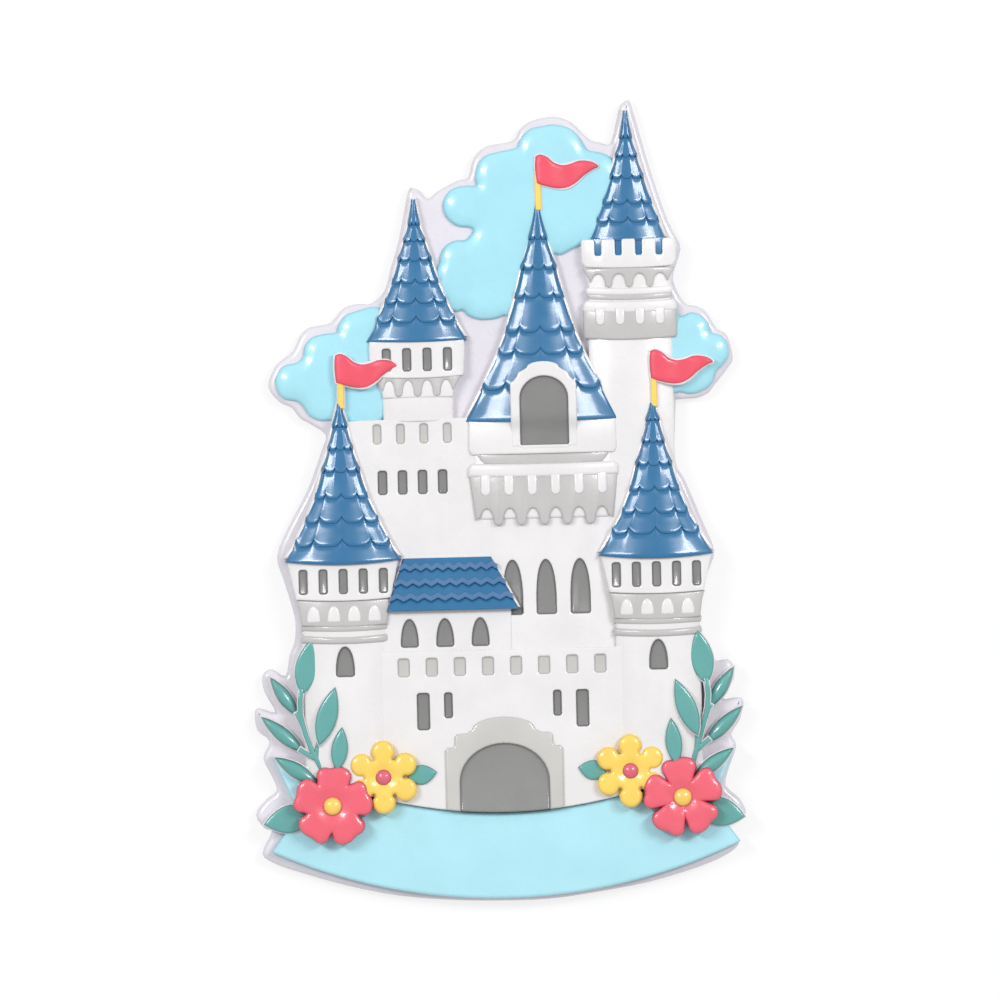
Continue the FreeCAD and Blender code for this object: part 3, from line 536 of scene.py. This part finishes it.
def scallops(half):
    """A tier's waved lip: sharp notches pointing up, with round tiles hanging between them."""
    pitch = 36.0
    start = pitch / 2 if half < 3 else 0.0
    depth = 0.3 + 0.13 * min(6.5, half)

    def wave(turn):
        share = ((turn + start) / pitch) % 1.0
        return depth * (abs(2 * share - 1) ** 4 - 0.2)
    return wave


def spire(name, axis, apex, lips, point_crown, crown, base_bow=0.0, hollow=None):
    """A spire from its point down through its lips, each given by height and half width."""
    base = lips[-1][0]
    bulge = 0.23

    def ridge(y):
        return FACE + point_crown + (crown - point_crown) * min(1.0, (apex - y) / (apex - base))

    def face(x, y, across, half):
        if hollow and hollow(x, y):
            return FACE + 3.0
        return ridge(y) - bulge * half * across ** 2

    starts = [(apex, 0.32)] + [(y, half - 0.25) for y, half in lips[:-1]]
    waves = [scallops(half) for y, half in lips[:-1]]
    waves.append(lambda turn: -base_bow * math.cos(math.radians(turn)) ** 2)
    for number, ((top, top_half), (foot, foot_half)) in enumerate(zip(starts, lips)):
        def span(down, top_half=top_half, foot_half=foot_half):
            half = top_half + (foot_half - top_half) * down ** 1.15
            return axis - half, axis + half
        tier(f"{name}_tier_{number + 1}", top, foot, span, face, waves[number - 1] if number else None,
             waves[number], 0.2)

    rows = [(apex + 0.25, 0.5)] + [(y, half + 0.22) for y, half in lips[:-1]]
    rows += [(base + 0.5, lips[-1][1] + 0.1)]

    def edge_height(x, y):
        return ridge(y) - bulge * abs(x - axis) - 0.5
    wall(f"{name}_edge", [tapered(axis, rows)], edge_height, wall_paint, 0.25)


tall_lips = [(53.7, 1.0), (50.9, 1.7), (47.7, 2.6), (43.9, 3.8), (41.2, 4.8), (38.3, 5.75)]
spire("tall_roof", tall_axis, 57.8, tall_lips, 1.55, 2.7)


# Middle tower, behind and to the left: a blue spire over a white drum of windows,
# a hanging grey corbel and a white shaft that sinks into the curtain wall.
def dish(name, outline, surface, material, slope=0.26, depth=0.36, along=False):
    """A painted recess: its rim lies in the opening of a wall, and its floor is dished."""
    piece = pad(name, [outline], -1.4, 0.0, 0.0)
    for item in (*piece.data.vertices, *piece.data.edges):
        item.select = False
    for face in piece.data.polygons:
        face.select = face.normal.z > 0.9
    picking = bpy.context.tool_settings
    picking.mesh_select_mode = (False, False, True)
    bpy.ops.object.mode_set(mode="EDIT")
    shares_of_depth = (0.52, 0.27, 0.15, 0.06)
    for share in shares_of_depth:
        bpy.ops.mesh.inset(thickness=slope / len(shares_of_depth) * MM, depth=-depth * share * MM)
    bpy.ops.object.mode_set(mode="OBJECT")
    picking.mesh_select_mode = (True, False, False)
    cut_grid(piece, 0.9, along)
    for vertex in piece.data.vertices:
        height = surface(vertex.co.x / MM, vertex.co.y / MM) * MM + vertex.co.z
        vertex.co.z = max(height, ROOT * MM)
    return finish(piece, material, 60)


def openings(name, outlines, surface, material, slope=0.26, depth=0.36):
    for number, outline in enumerate(outlines):
        dish(f"{name}_{number + 1}", outline, lowered(surface, 0.1), material, slope, depth)


def slits(bays, top, width, height):
    return [rounded_box(bay - width / 2, top, bay + width / 2, top - height, 0.4) for bay in bays]


window_paint = gloss_paint("window_grey", paint(131, 131, 130), paint(118, 117, 118), 0.9, 0.6)
middle_axis = -11.6
drum_front = round_front(middle_axis, 7.5, 1.7, 3.1)
middle_front = round_front(middle_axis, 5.6, 1.2, 2.3)
wall("middle_shaft", [tapered(middle_axis, [(22.0, 5.5), (12.0, 5.25)])], middle_front, wall_paint)
windows = slits(spread(middle_axis, 4, 3.05), 23.0, 1.3, 3.45)
drum = tapered(middle_axis, [(24.6, 7.0), (23.0, 7.2), (19.4, 7.0), (18.8, 6.8)], 0.3)
wall("middle_drum", [drum] + windows, drum_front, wall_paint, 0.2)
openings("middle_window", windows, drum_front, window_paint)
wall("middle_neck", [tapered(middle_axis, [(19.5, 6.6), (18.6, 6.5), (16.4, 5.4), (15.6, 5.3)])],
     lowered(drum_front, 0.62), wall_paint)
corbel = hanging_corbel(middle_axis, 19.0, 6.7, 16.3, 5.3, spread(middle_axis, 4, 2.85), 1.7, 1.9)
wall("middle_corbel", [corbel], lowered(drum_front, 0.35), grey_paint, 0.25)
middle_lips = [(41.5, 0.95), (39.0, 1.7), (36.1, 2.6), (32.8, 3.6), (29.8, 4.8), (27.0, 6.1), (24.1, 7.55)]
spire("middle_roof", middle_axis, 45.3, middle_lips, 1.55, 3.3, 0.2)

# Curtain wall between the left corner tower and the central tower: flat and white,
# with a row of pale crenels over a row of dark windows.
crenel_paint = gloss_paint("crenel_grey", paint(195, 193, 190), paint(197, 195, 192), 0.8)
curtain_front = level(1.95)
crenels = slits(spread(-12.6, 4, 3.5), 11.7, 1.2, 2.9)
windows = slits(spread(-12.7, 4, 3.0), 4.75, 1.35, 3.55)
curtain = [(-2.0, -14.0), (-2.0, 12.3), (-3.0, 12.5), (-20.0, 12.4), (-23.4, 12.2), (-23.4, -14.0)]
wall("curtain_wall", [curtain] + crenels + windows, curtain_front, wall_paint, 0.25)
openings("curtain_crenel", crenels, curtain_front, crenel_paint, 0.3, 0.26)
openings("curtain_window", windows, curtain_front, window_paint)


# Central tower: the widest spire, a white drum, a groove and a ledge over a grey
# toothed band with arches in its foot, and a broad shaft with three lancets.
def bullet(axis, top, width, height, taper):
    """A window that narrows from its sill to a round point; the taper sets how soon."""
    half = width / 2
    soft = 0.4
    sill = top - height
    turns = [math.radians(12 + 156 * step / 14) for step in range(15)]
    head = [(axis + half * math.cos(turn), sill + height * math.sin(turn) ** taper) for turn in turns]
    right = arc(axis + half - soft, sill + soft, soft, soft, 270, 345, 3)
    left = arc(axis - half + soft, sill + soft, soft, soft, 195, 270, 3)
    return right + head + left


central_axis = 6.9
central_front = round_front(central_axis, 11.6, 2.2, 3.9)
broad_front = round_front(central_axis, 9.8, 1.8, 3.0)
lancets = [bullet(axis, -9.0, 3.0, 8.2, 0.62) for axis in (1.9, 6.9, 12.0)]
shaft = tapered(central_axis, [(1.0, 9.6), (-5.0, 9.7), (-9.0, 10.9), (-23.5, 10.9)])
wall("central_shaft", [shaft] + lancets, broad_front, wall_paint, 0.25)
openings("lancet", lancets, broad_front, window_paint, 0.32, 0.42)
body = [(7.4, 10.6), (5.0, 10.5), (2.0, 10.6), (-1.5, 10.2), (-2.9, 9.9)]
wall("central_body", [tapered(central_axis, body)], lowered(central_front, 0.5), wall_paint,
     0.5)
dormer_axis, dormer_half, dormer_sill, dormer_spring = 7.2, 3.6, 8.0, 15.1
drum = [(central_axis + 10.7, 6.8), (central_axis + 11.15, 7.6), (central_axis + 11.0, 11.9),
        (dormer_axis + dormer_half, 11.9), (dormer_axis + dormer_half, dormer_sill),
        (dormer_axis - dormer_half, dormer_sill), (dormer_axis - dormer_half, 11.9),
        (central_axis - 11.0, 11.9), (central_axis - 11.15, 7.6), (central_axis - 10.7, 6.8)]
wall("central_drum", [drum], central_front, wall_paint, 0.3)
groove = tapered(central_axis, [(7.0, 9.9), (6.5, 9.75), (5.9, 9.3), (5.4, 8.8)], 0.25)
wall("central_groove", [groove], lowered(central_front, 0.32), grey_paint, 0.25)
wall("central_ledge", [tapered(central_axis, [(5.5, 10.6), (4.9, 11.3), (3.5, 11.3)], 0.2)],
     lowered(central_front, -0.3), wall_paint, 0.5)
corbel = hanging_corbel(central_axis, 3.9, 11.2, -3.3, 10.3, spread(central_axis, 6, 3.45), 2.0, 2.0)
wall("central_band", [corbel], central_front, grey_paint, 0.35)
for number, bay in enumerate(spread(central_axis, 6, 3.5)):
    wall(f"central_tongue_{number + 1}", [tongue(bay, 4.0, 1.5, 3.4)], lowered(central_front, -0.25),
         wall_paint, 0.35)


def dormer_hollow(x, y):
    """Where the roof is left out behind the dormer's window."""
    offset = (x - dormer_axis) / (dormer_half + 0.35)
    return abs(offset) < 1 and y < dormer_spring + 3.65 * math.sqrt(1 - offset ** 2)


central_lips = [(38.9, 1.45), (34.4, 2.75), (30.2, 3.8), (25.1, 5.3), (21.8, 6.6), (16.6, 9.2), (11.8, 11.6)]
spire("central_roof", central_axis, 44.0, central_lips, 1.55, 4.6, 0.15, dormer_hollow)


# Dormer in the front of the central roof: a stepped white surround that sinks into
# the drum below, and one dark round-headed window.
def stepped(axis, sill, rows, crown):
    """A stepped surround from its sill up, alike on both sides, with a round crown."""
    right = [(axis + half, sill + rise) for half, rise in rows]
    left = [(axis - half, sill + rise) for half, rise in reversed(rows)]
    half, rise = rows[-1]
    return right + arc(axis, sill + rise, half, crown, 0, 180, 10)[1:-1] + left


def arched(axis, top, width, height, head):
    """An opening with straight sides, an elliptical head and soft corners at its sill."""
    half = width / 2
    soft = 0.4
    sill = top - height
    return (
        arc(axis, top - head, half, head, 0, 180, 16)
        + arc(axis - half + soft, sill + soft, soft, soft, 180, 270, 3)
        + arc(axis + half - soft, sill + soft, soft, soft, 270, 360, 3)
    )


def dormer_front(x, y):
    sunk = smooth((12.6 - y) / 2.6)
    return (FACE + 4.95) * (1 - sunk) + (central_front(x, y) + 0.06) * sunk


dormer_rows = [(4.95, -0.2), (4.95, 9.0), (4.8, 9.5), (4.35, 9.8), (3.95, 10.3), (3.65, 11.0),
               (2.9, 11.35), (2.4, 11.7)]
dormer_window = arched(dormer_axis, 18.4, 2 * dormer_half, 10.4, 3.3)
surround = stepped(dormer_axis - 0.05, dormer_sill, dormer_rows, 0.9)
wall("dormer_surround", [surround, dormer_window], dormer_front, wall_paint, 0.3, 0.6, True)
dish("dormer_window", dormer_window, lowered(dormer_front, 0.15), window_paint, 0.35, 0.45,
     True)

# Hall: a flat wall in white gloss paint with three sunk windows in dark grey. It is
# cast in front of the central shaft, under its gable roof.
hall_front = level(2.85)
hall_windows = [bullet(axis, -17.5, 2.6, 4.2, 0.86) for axis in (-13.7, -8.4, -3.1)]
hall = [(1.6, -23.0), (1.6, -14.5), (-23.4, -14.5), (-23.4, -23.0)]
wall("hall_wall", [hall] + hall_windows, hall_front, wall_paint, 0.3)
openings("hall_window", hall_windows, hall_front, window_paint, 0.3, 0.4)


# Gable roof of the hall: four sloping courses of small pointed shingles in the roofs'
# blue, with a painted highlight of paler blue along their lips, and a thin white edge where the casting
# shows.
def zigzag(turn):
    share = (turn / 20.0) % 1.0
    return 0.55 * (abs(2 * share - 1) - 0.5)


gable_top, gable_foot = -8.4, -16.3
gable_left, gable_right = (-14.5, -17.0), (-1.2, 2.75)
gable_lips = [-10.2, -12.5, -14.7, gable_foot]


def gable_edges(y):
    share = (gable_top - y) / (gable_top - gable_foot)
    return [ends[0] + (ends[1] - ends[0]) * share for ends in (gable_left, gable_right)]


def gable_face(x, y, across, half):
    return FACE + 2.7 + 1.2 * (gable_top - y) / (gable_top - gable_foot)


for number, (top, foot) in enumerate(zip([gable_top] + gable_lips, gable_lips)):
    def span(down, top=top, foot=foot):
        return gable_edges(top + (foot - top) * down)
    own_wave = zigzag if foot > gable_foot else (lambda turn: 0.0)
    upper_wave = zigzag if number else None
    tier(f"gable_course_{number + 1}", top, foot, span, gable_face, upper_wave, own_wave, 0.42, True)
# Painted highlight: a zigzag strip of paler blue on each lip stands in for the light that the shingles' lips
# catch.
lip_highlight_paint = gloss_paint("roof_blue_lip_highlight", paint(76, 118, 163), paint(60, 108, 152), 0.7, 0.7)
for number, lip_y in enumerate(gable_lips[:-1]):
    under, over = [], []
    for turn in range(-90, 91, 10):
        left, right = gable_edges(lip_y)
        x = left + (right - left) * (turn + 90) / 180
        under.append((x, lip_y + zigzag(turn) + 0.1))
        over.append((x, lip_y + zigzag(turn) + 0.9))
    lip_face = lowered(lambda x, y: gable_face(x, y, 0, 0), -0.4)
    wall(f"gable_lip_{number + 1}", [under + over[::-1]], lip_face, lip_highlight_paint, 0.12)
edge_outline = [(gable_right[0] + 0.2, gable_top + 0.15), (gable_left[0] - 0.2, gable_top + 0.15),
                (gable_left[1] + 0.1, gable_foot + 0.5), (gable_right[1] + 0.25, gable_foot + 0.2)]
wall("gable_edge", [edge_outline], lambda x, y: gable_face(x, y, 0, 0) - 0.35, wall_paint, 0.25)

# Front wall: one long white face with a row of pale crenels and four slits, whose
# foot follows the top of the banner.
banner_reach, banner_tip, banner_middle = 34.6, -37.9, -46.65


def bow(reach, tip, middle):
    """A circle through two tips and a middle, as a height at any place across."""
    sag = tip - middle
    radius = (reach ** 2 + sag ** 2) / (2 * sag)
    return lambda x: middle + radius - math.sqrt(radius ** 2 - x ** 2)


banner_top = bow(banner_reach, banner_tip, banner_middle)


def on_banner(left, right, steps=12):
    """The top of the banner from left to right."""
    places = [left + (right - left) * step / steps for step in range(steps + 1)]
    return [(x, banner_top(x)) for x in places]


front = level(3.0)
crenels = slits(spread(0.0, 8, 4.2), -23.4, 1.7, 2.7)
wide_slits = slits([-11.9, 11.9], -28.6, 1.85, 5.5)
narrow_slits = slits([-8.15, 8.15], -28.6, 1.2, 3.8)
front_outline = on_banner(-23.4, -7.0, 6) + [(-7.0, -36.0), (7.0, -36.0)] + on_banner(7.0, 23.4, 6)
front_outline += [(23.4, -22.3), (-23.4, -22.3)]
wall("front_wall", [front_outline] + crenels + wide_slits + narrow_slits, front, wall_paint,
     0.25)
openings("front_crenel", crenels, front, crenel_paint, 0.35, 0.26)
openings("arrow_slit", wide_slits + narrow_slits, front, window_paint, 0.28, 0.42)

# Gate: a stepped surround in pale grey paint that stands proud of the front wall,
# and a sunk door in a darker grey.
gate_paint = gloss_paint("gate_stone", paint(201, 199, 195), paint(192, 189, 186), 0.8)
door_paint = gloss_paint("door_grey", paint(141, 141, 140), paint(133, 132, 133), 0.9, 0.5)
gate_front = level(3.5)
gate_half, door_half, door_spring, door_head = 8.8, 6.7, -42.05, 5.7
gate_rows = [(8.8, 9.4), (8.4, 9.8), (7.6, 9.8), (7.35, 10.2), (7.3, 11.4), (6.9, 11.8), (5.4, 11.9),
             (4.6, 12.5)]
gate = stepped(0.0, -46.6, gate_rows, 1.75) + on_banner(-gate_half, -door_half, 2)
gate += arc(0.0, door_spring, door_half, door_head, 180, 0, 20) + on_banner(door_half, gate_half, 2)
wall("gate_surround", [gate], gate_front, gate_paint, 0.35)
door = on_banner(-door_half, door_half, 6) + arc(0.0, door_spring, door_half, door_head, 0, 180, 20)
dish("gate_door", door, lowered(gate_front, 0.3), door_paint, 0.3, 0.45)

# Corner towers: a tall spire, a drum of five windows, an arcaded grey corbel, two
# rings and a plain round shaft with one small window.
corner_axis = 23.4
left_lips = [(11.5, 1.2), (8.1, 1.95), (4.8, 2.95), (0.9, 4.1), (-2.7, 5.7), (-6.15, 7.4), (-8.5, 8.75)]
right_lips = [(11.4, 1.1), (8.1, 1.75), (4.7, 2.8), (0.95, 3.85), (-2.4, 5.1), (-5.4, 6.8), (-8.65, 8.6)]
for side, name, apex, lips in ((-1, "left", 15.0, left_lips), (1, "right", 14.0, right_lips)):
    axis = side * corner_axis
    tower_front = round_front(axis, 8.7, 2.9, 4.9)
    shaft_front = round_front(axis, 6.5, 2.5, 4.2)
    ring_front = round_front(axis, 6.7, 2.8, 4.5)
    porthole = bullet(axis, -21.4, 2.7, 4.4, 0.75)
    shaft = on_banner(axis - 6.4, axis + 6.4) + [(axis + 6.3, -14.0), (axis - 6.3, -14.0)]
    wall(f"{name}_shaft", [shaft, porthole], shaft_front, wall_paint, 0.4)
    openings(f"{name}_porthole", [porthole], shaft_front, window_paint, 0.3, 0.42)
    windows = slits(spread(axis, 5, 3.0), -9.75, 1.3, 3.7)
    drum = tapered(axis, [(-8.3, 8.2), (-9.0, 8.2), (-13.6, 7.2), (-14.2, 7.0)], 0.3)
    wall(f"{name}_drum", [drum] + windows, tower_front, wall_paint, 0.2)
    openings(f"{name}_window", windows, tower_front, window_paint)
    neck = tapered(axis, [(-14.0, 6.9), (-15.6, 6.4), (-20.5, 6.2)])
    wall(f"{name}_neck", [neck], lowered(shaft_front, -0.12), wall_paint)
    arcade = tapered(axis, [(-14.2, 7.2), (-15.4, 6.8), (-18.1, 6.4)], 0.3)
    wall(f"{name}_arcade", [arcade], lowered(tower_front, 0.3), grey_paint, 0.3)
    for number, bay in enumerate(spread(axis, 4, 3.05)):
        arch = bullet(bay, -15.15, 2.1, 2.55, 0.75)
        wall(f"{name}_arch_{number + 1}", [arch], lowered(tower_front, 0.2), wall_paint, 0.35)
    for number, top in enumerate((-17.7, -19.5)):
        ring = tapered(axis, [(top, 6.45), (top - 0.5, 6.65), (top - 1.2, 6.5)], 0.3)
        wall(f"{name}_ring_{number + 1}", [ring], ring_front, grey_paint, 0.45, 0.7)
    spire(f"{name}_roof", axis, apex, lips, 2.65, 5.4, 0.6)


# Flags: red pennants on short yellow poles at three of the points, with a thin white
# edge where the casting shows beside the paint.
def edged(name, outline, rise, rounding, width, drop):
    """The white edge of the casting round a painted shape."""
    edge = pad(name, [outline], ROOT, FACE + rise - drop, rounding, width)
    finish(edge, wall_paint, 60)


flag_paint = gloss_paint("flag_red", paint(236, 80, 101), paint(150, 46, 66), 0.8, 0.6)
pole_paint = gloss_paint("pole_yellow", paint(250, 212, 100), paint(230, 186, 84))
pennant = [(0, 0, "corner"), (0.8, 0.25), (1.8, -0.15), (2.8, -1.0), (3.9, -1.35), (5.2, -1.15), (6.6, -0.8),
           (8.2, -0.95), (9.3, -1.5), (9.35, -1.9), (8.6, -2.2), (7.2, -3.1), (5.9, -4.3), (4.6, -4.95),
           (3.0, -4.9), (1.4, -4.5), (0.1, -4.1, "corner"), (-0.1, -2.0)]
for name, x, y, pole_x, pole_foot, rise in (
    ("left", -23.9, 22.2, -23.1, 14.2, 2.9), ("central", 6.8, 51.3, 7.1, 43.2, 1.9),
    ("right", 23.2, 21.7, 23.7, 13.4, 2.9),
):
    pole = rounded_box(pole_x - 0.45, y - 2.0, pole_x + 0.45, pole_foot, 0.2)
    finish(pad(f"{name}_flag_pole", [pole], ROOT, FACE + rise - 0.2, 0.2), pole_paint, 60)
    outline = flowing([(x + place[0], y + place[1], *place[2:]) for place in pennant])
    edged(f"{name}_flag_edge", outline, rise, 0.3, 0.2, 0.3)
    edged(f"{name}_pole_edge", pole, rise - 0.2, 0.2, 0.18, 0.35)

    def ripple(place_x, place_y, x=x):
        return 0.16 * math.sin((place_x - x) * 0.95)
    cloth = pad(f"{name}_flag", [outline], ROOT, FACE + rise, 0.45)
    finish(lift(cut_grid(cloth, 0.5), ripple), flag_paint, 60)

# Banner across the foot: a broad raised ribbon in pale blue gloss paint, with a soft
# edge and a notch at each end.
banner_paint = gloss_paint("banner_blue", paint(176, 230, 242), paint(132, 200, 217), 0.8)
banner_foot = bow(35.1, -51.9, -59.6)
foot_line = [(35.1 * (1 - step / 12), banner_foot(35.1 * (1 - step / 12))) for step in range(25)]
banner = on_banner(-banner_reach, banner_reach, 24) + [(30.9, -46.1)] + foot_line + [(-30.9, -46.1)]
finish(pad("banner", [banner], ROOT, FACE + 1.9, 0.6), banner_paint)

# Leaves and stems beside the corner towers, cast proud and painted green: broad flat
# leaves, small plump ones, and thin stems that run between them.
leaf_paint = gloss_paint("leaf_green", paint(97, 166, 162), paint(42, 102, 98), 0.9, 0.6)
left_leaves = [
    ((-30.0, -28.4), (-28.4, -20.1), 3.4, 3.4, 0.0), ((-30.7, -31.6), (-34.8, -25.6), 2.1, 1.6, 0.7),
    ((-27.6, -36.0), (-25.0, -27.3), 3.1, 4.6, 0.1), ((-30.0, -37.0), (-36.3, -31.5), 2.2, 1.6, 0.7),
    ((-25.0, -39.9), (-24.1, -33.3), 2.5, 4.7, 0.1), ((-27.8, -41.8), (-34.4, -37.6), 2.3, 3.4, 0.6),
    ((-28.6, -46.2), (-36.2, -47.7), 4.2, 2.6, 0.1), ((-14.5, -41.1), (-10.1, -40.4), 3.0, 3.5, 0.1),
]
right_leaves = [
    ((30.5, -28.3), (29.3, -20.1), 3.4, 3.4, 0.0), ((30.7, -31.9), (34.7, -25.7), 2.1, 1.6, 0.7),
    ((29.0, -35.9), (25.8, -27.3), 3.0, 4.6, 0.1), ((30.1, -37.2), (35.9, -31.6), 2.2, 1.6, 0.7),
    ((25.7, -40.2), (25.0, -33.1), 2.5, 4.7, 0.1), ((28.0, -42.4), (34.4, -37.8), 2.2, 3.4, 0.6),
    ((28.6, -46.6), (35.8, -48.2), 4.3, 2.6, 0.1), ((15.2, -41.1), (11.0, -40.2), 3.0, 3.5, 0.1),
]
left_stems = [
    [(-30.1, -27.4), (-30.3, -29.4), (-30.3, -31.4), (-29.7, -34.0), (-28.8, -36.6), (-28.2, -37.8),
     (-26.9, -40.6)],
    [(-30.9, -31.0), (-30.4, -32.0), (-29.8, -33.4)], [(-30.6, -36.5), (-29.4, -37.3), (-28.3, -37.9)],
    [(-27.4, -34.8), (-27.9, -36.3), (-28.1, -38.0)],
]
right_stems = [
    [(30.4, -27.2), (30.7, -29.7), (30.5, -31.8), (30.1, -33.4), (29.4, -35.8), (28.7, -38.2), (27.8, -41.0)],
    [(31.1, -31.2), (30.6, -32.0), (30.2, -33.2)], [(30.8, -36.4), (29.8, -37.2), (28.8, -38.0)],
    [(28.7, -34.9), (28.9, -36.0), (28.8, -37.8)],
]


def leaf_outline(base, tip, width):
    along = Vector(tip) - Vector(base)
    aside = along.orthogonal().normalized() * width / 2
    line = []
    for way, steps in ((1, range(11)), (-1, range(9, 0, -1))):
        for step in steps:
            place = Vector(base) + along * step / 10
            swell = max(0.0, math.sin(math.pi * (step / 10) ** 0.92)) ** 0.85
            line.append(tuple(place + aside * swell * way))
    return line


def ribbon(points, width):
    """The outline of a thin stem along a few places."""
    left, right = [], []
    for index, place in enumerate(points):
        before = Vector(points[max(0, index - 1)])
        after = Vector(points[min(len(points) - 1, index + 1)])
        aside = (after - before).orthogonal().normalized() * width / 2
        left.append(tuple(Vector(place) + aside))
        right.append(tuple(Vector(place) - aside))
    return left + right[::-1]


for name, leaves, stems in (("left", left_leaves, left_stems), ("right", right_leaves, right_stems)):
    for number, (base, tip, width, rise, swell) in enumerate(leaves):
        outline = leaf_outline(base, tip, width)
        edged(f"{name}_leaf_edge_{number + 1}", outline, rise, 0.3, 0.16, 0.45)
        leaf = cut_grid(pad(f"{name}_leaf_{number + 1}", [outline], ROOT, FACE + rise, 0.35), 0.4)
        finish(lift(leaf, shoulder(outline, width / 2, swell)), leaf_paint, 60)
    for number, line in enumerate(stems):
        outline = ribbon(line, 0.7)
        edged(f"{name}_stem_edge_{number + 1}", outline, 3.6, 0.2, 0.16, 0.35)
        stem = pad(f"{name}_stem_{number + 1}", [outline], ROOT, FACE + 3.6 - 0.02 * number, 0.2)
        finish(stem, leaf_paint, 60)

# Flowers at the foot of each corner tower: a red one with five broad petals over a
# yellow one with six round petals, each with a domed heart.
red_paint = gloss_paint("petal_red", paint(238, 98, 116), paint(160, 58, 84), 0.9, 0.55)
yellow_paint = gloss_paint("petal_yellow", paint(249, 211, 96), paint(240, 196, 84), 0.8, 0.55)
red_heart_paint = gloss_paint("heart_red", paint(221, 98, 120), paint(160, 56, 80), 0.8, 0.6)
# The yellow hearts' steep sides are painted purplish red: a painted shadow ring round the foot of each heart.
yellow_heart_paint = gloss_paint("heart_yellow", paint(250, 206, 98), paint(186, 82, 84), 0.8, 0.6)


def rose_outline(x, y, first_gap):
    """Five broad petals, each with a shallow dip in its end."""
    line = []
    for angle in range(0, 360, 3):
        across = ((angle - first_gap) % 72) / 36 - 1
        reach = 3.45 + 2.6 * (1 - abs(across) ** 4.5) ** 0.6 - 0.35 * math.exp(-((across - 0.15) / 0.22) ** 2)
        line.append((x + reach * math.cos(math.radians(angle)), y + reach * math.sin(math.radians(angle))))
    return line


def daisy_outline(x, y):
    """Six round petals with a soft gap between each pair."""
    petal_at, petal_radius, gap_at, gap_radius = 3.75, 1.75, 3.2, 0.24
    line = []
    for petal in range(6):
        turn = 90 + 60 * petal
        middle = (x + petal_at * math.cos(math.radians(turn)), y + petal_at * math.sin(math.radians(turn)))
        gap = turn + 30
        gap_middle = (x + gap_at * math.cos(math.radians(gap)), y + gap_at * math.sin(math.radians(gap)))
        line += arc(*middle, petal_radius, petal_radius, turn - 105, turn + 105, 14)
        line += arc(*gap_middle, gap_radius, gap_radius, gap - 90, gap - 270, 5)
    return line


def flower(name, outline, middle, rise, petals, heart_radius, heart_paint):
    """Petals that swell softly from their edges and sink round a small dome."""
    swell = shoulder(outline, 1.3, 0.25)

    def cupped(x, y):
        return swell(x, y) - 0.45 * math.exp(-((math.dist((x, y), middle) / (1.5 * heart_radius)) ** 4))
    piece = cut_grid(pad(name, [outline], ROOT, FACE + rise - 0.2, 0.5), 0.45)
    finish(lift(piece, cupped), petals, 60)
    bpy.ops.object.select_all(action="DESELECT")
    place = Vector((*middle, FACE + rise - 0.45)) * MM
    bpy.ops.mesh.primitive_uv_sphere_add(segments=32, ring_count=16, radius=heart_radius * MM, location=place)
    dome = bpy.context.object
    dome.name = f"{name}_heart"
    bpy.ops.object.transform_apply(location=True, rotation=True, scale=True)
    bpy.ops.object.mode_set(mode="EDIT")
    bpy.ops.mesh.select_all(action="SELECT")
    below = place - Vector((0, 0, 0.3 * heart_radius * MM))
    bpy.ops.mesh.bisect(plane_co=below, plane_no=(0, 0, 1), clear_inner=True, use_fill=True)
    bpy.ops.mesh.select_all(action="SELECT")
    bpy.ops.transform.resize(value=(1, 1, 0.65), center_override=place)
    bpy.ops.object.mode_set(mode="OBJECT")
    finish(dome, heart_paint, 60)


for name, rose_at, first_gap, daisy_at in (
    ("left", (-25.8, -45.1), 50, (-18.1, -41.0)), ("right", (26.5, -45.0), 60, (18.8, -40.9)),
):
    flower(f"{name}_yellow_flower", daisy_outline(*daisy_at), daisy_at, 4.6, yellow_paint,
           1.2, red_heart_paint)
    flower(f"{name}_red_flower", rose_outline(*rose_at, first_gap), rose_at, 5.0, red_paint,
           1.45, yellow_heart_paint)
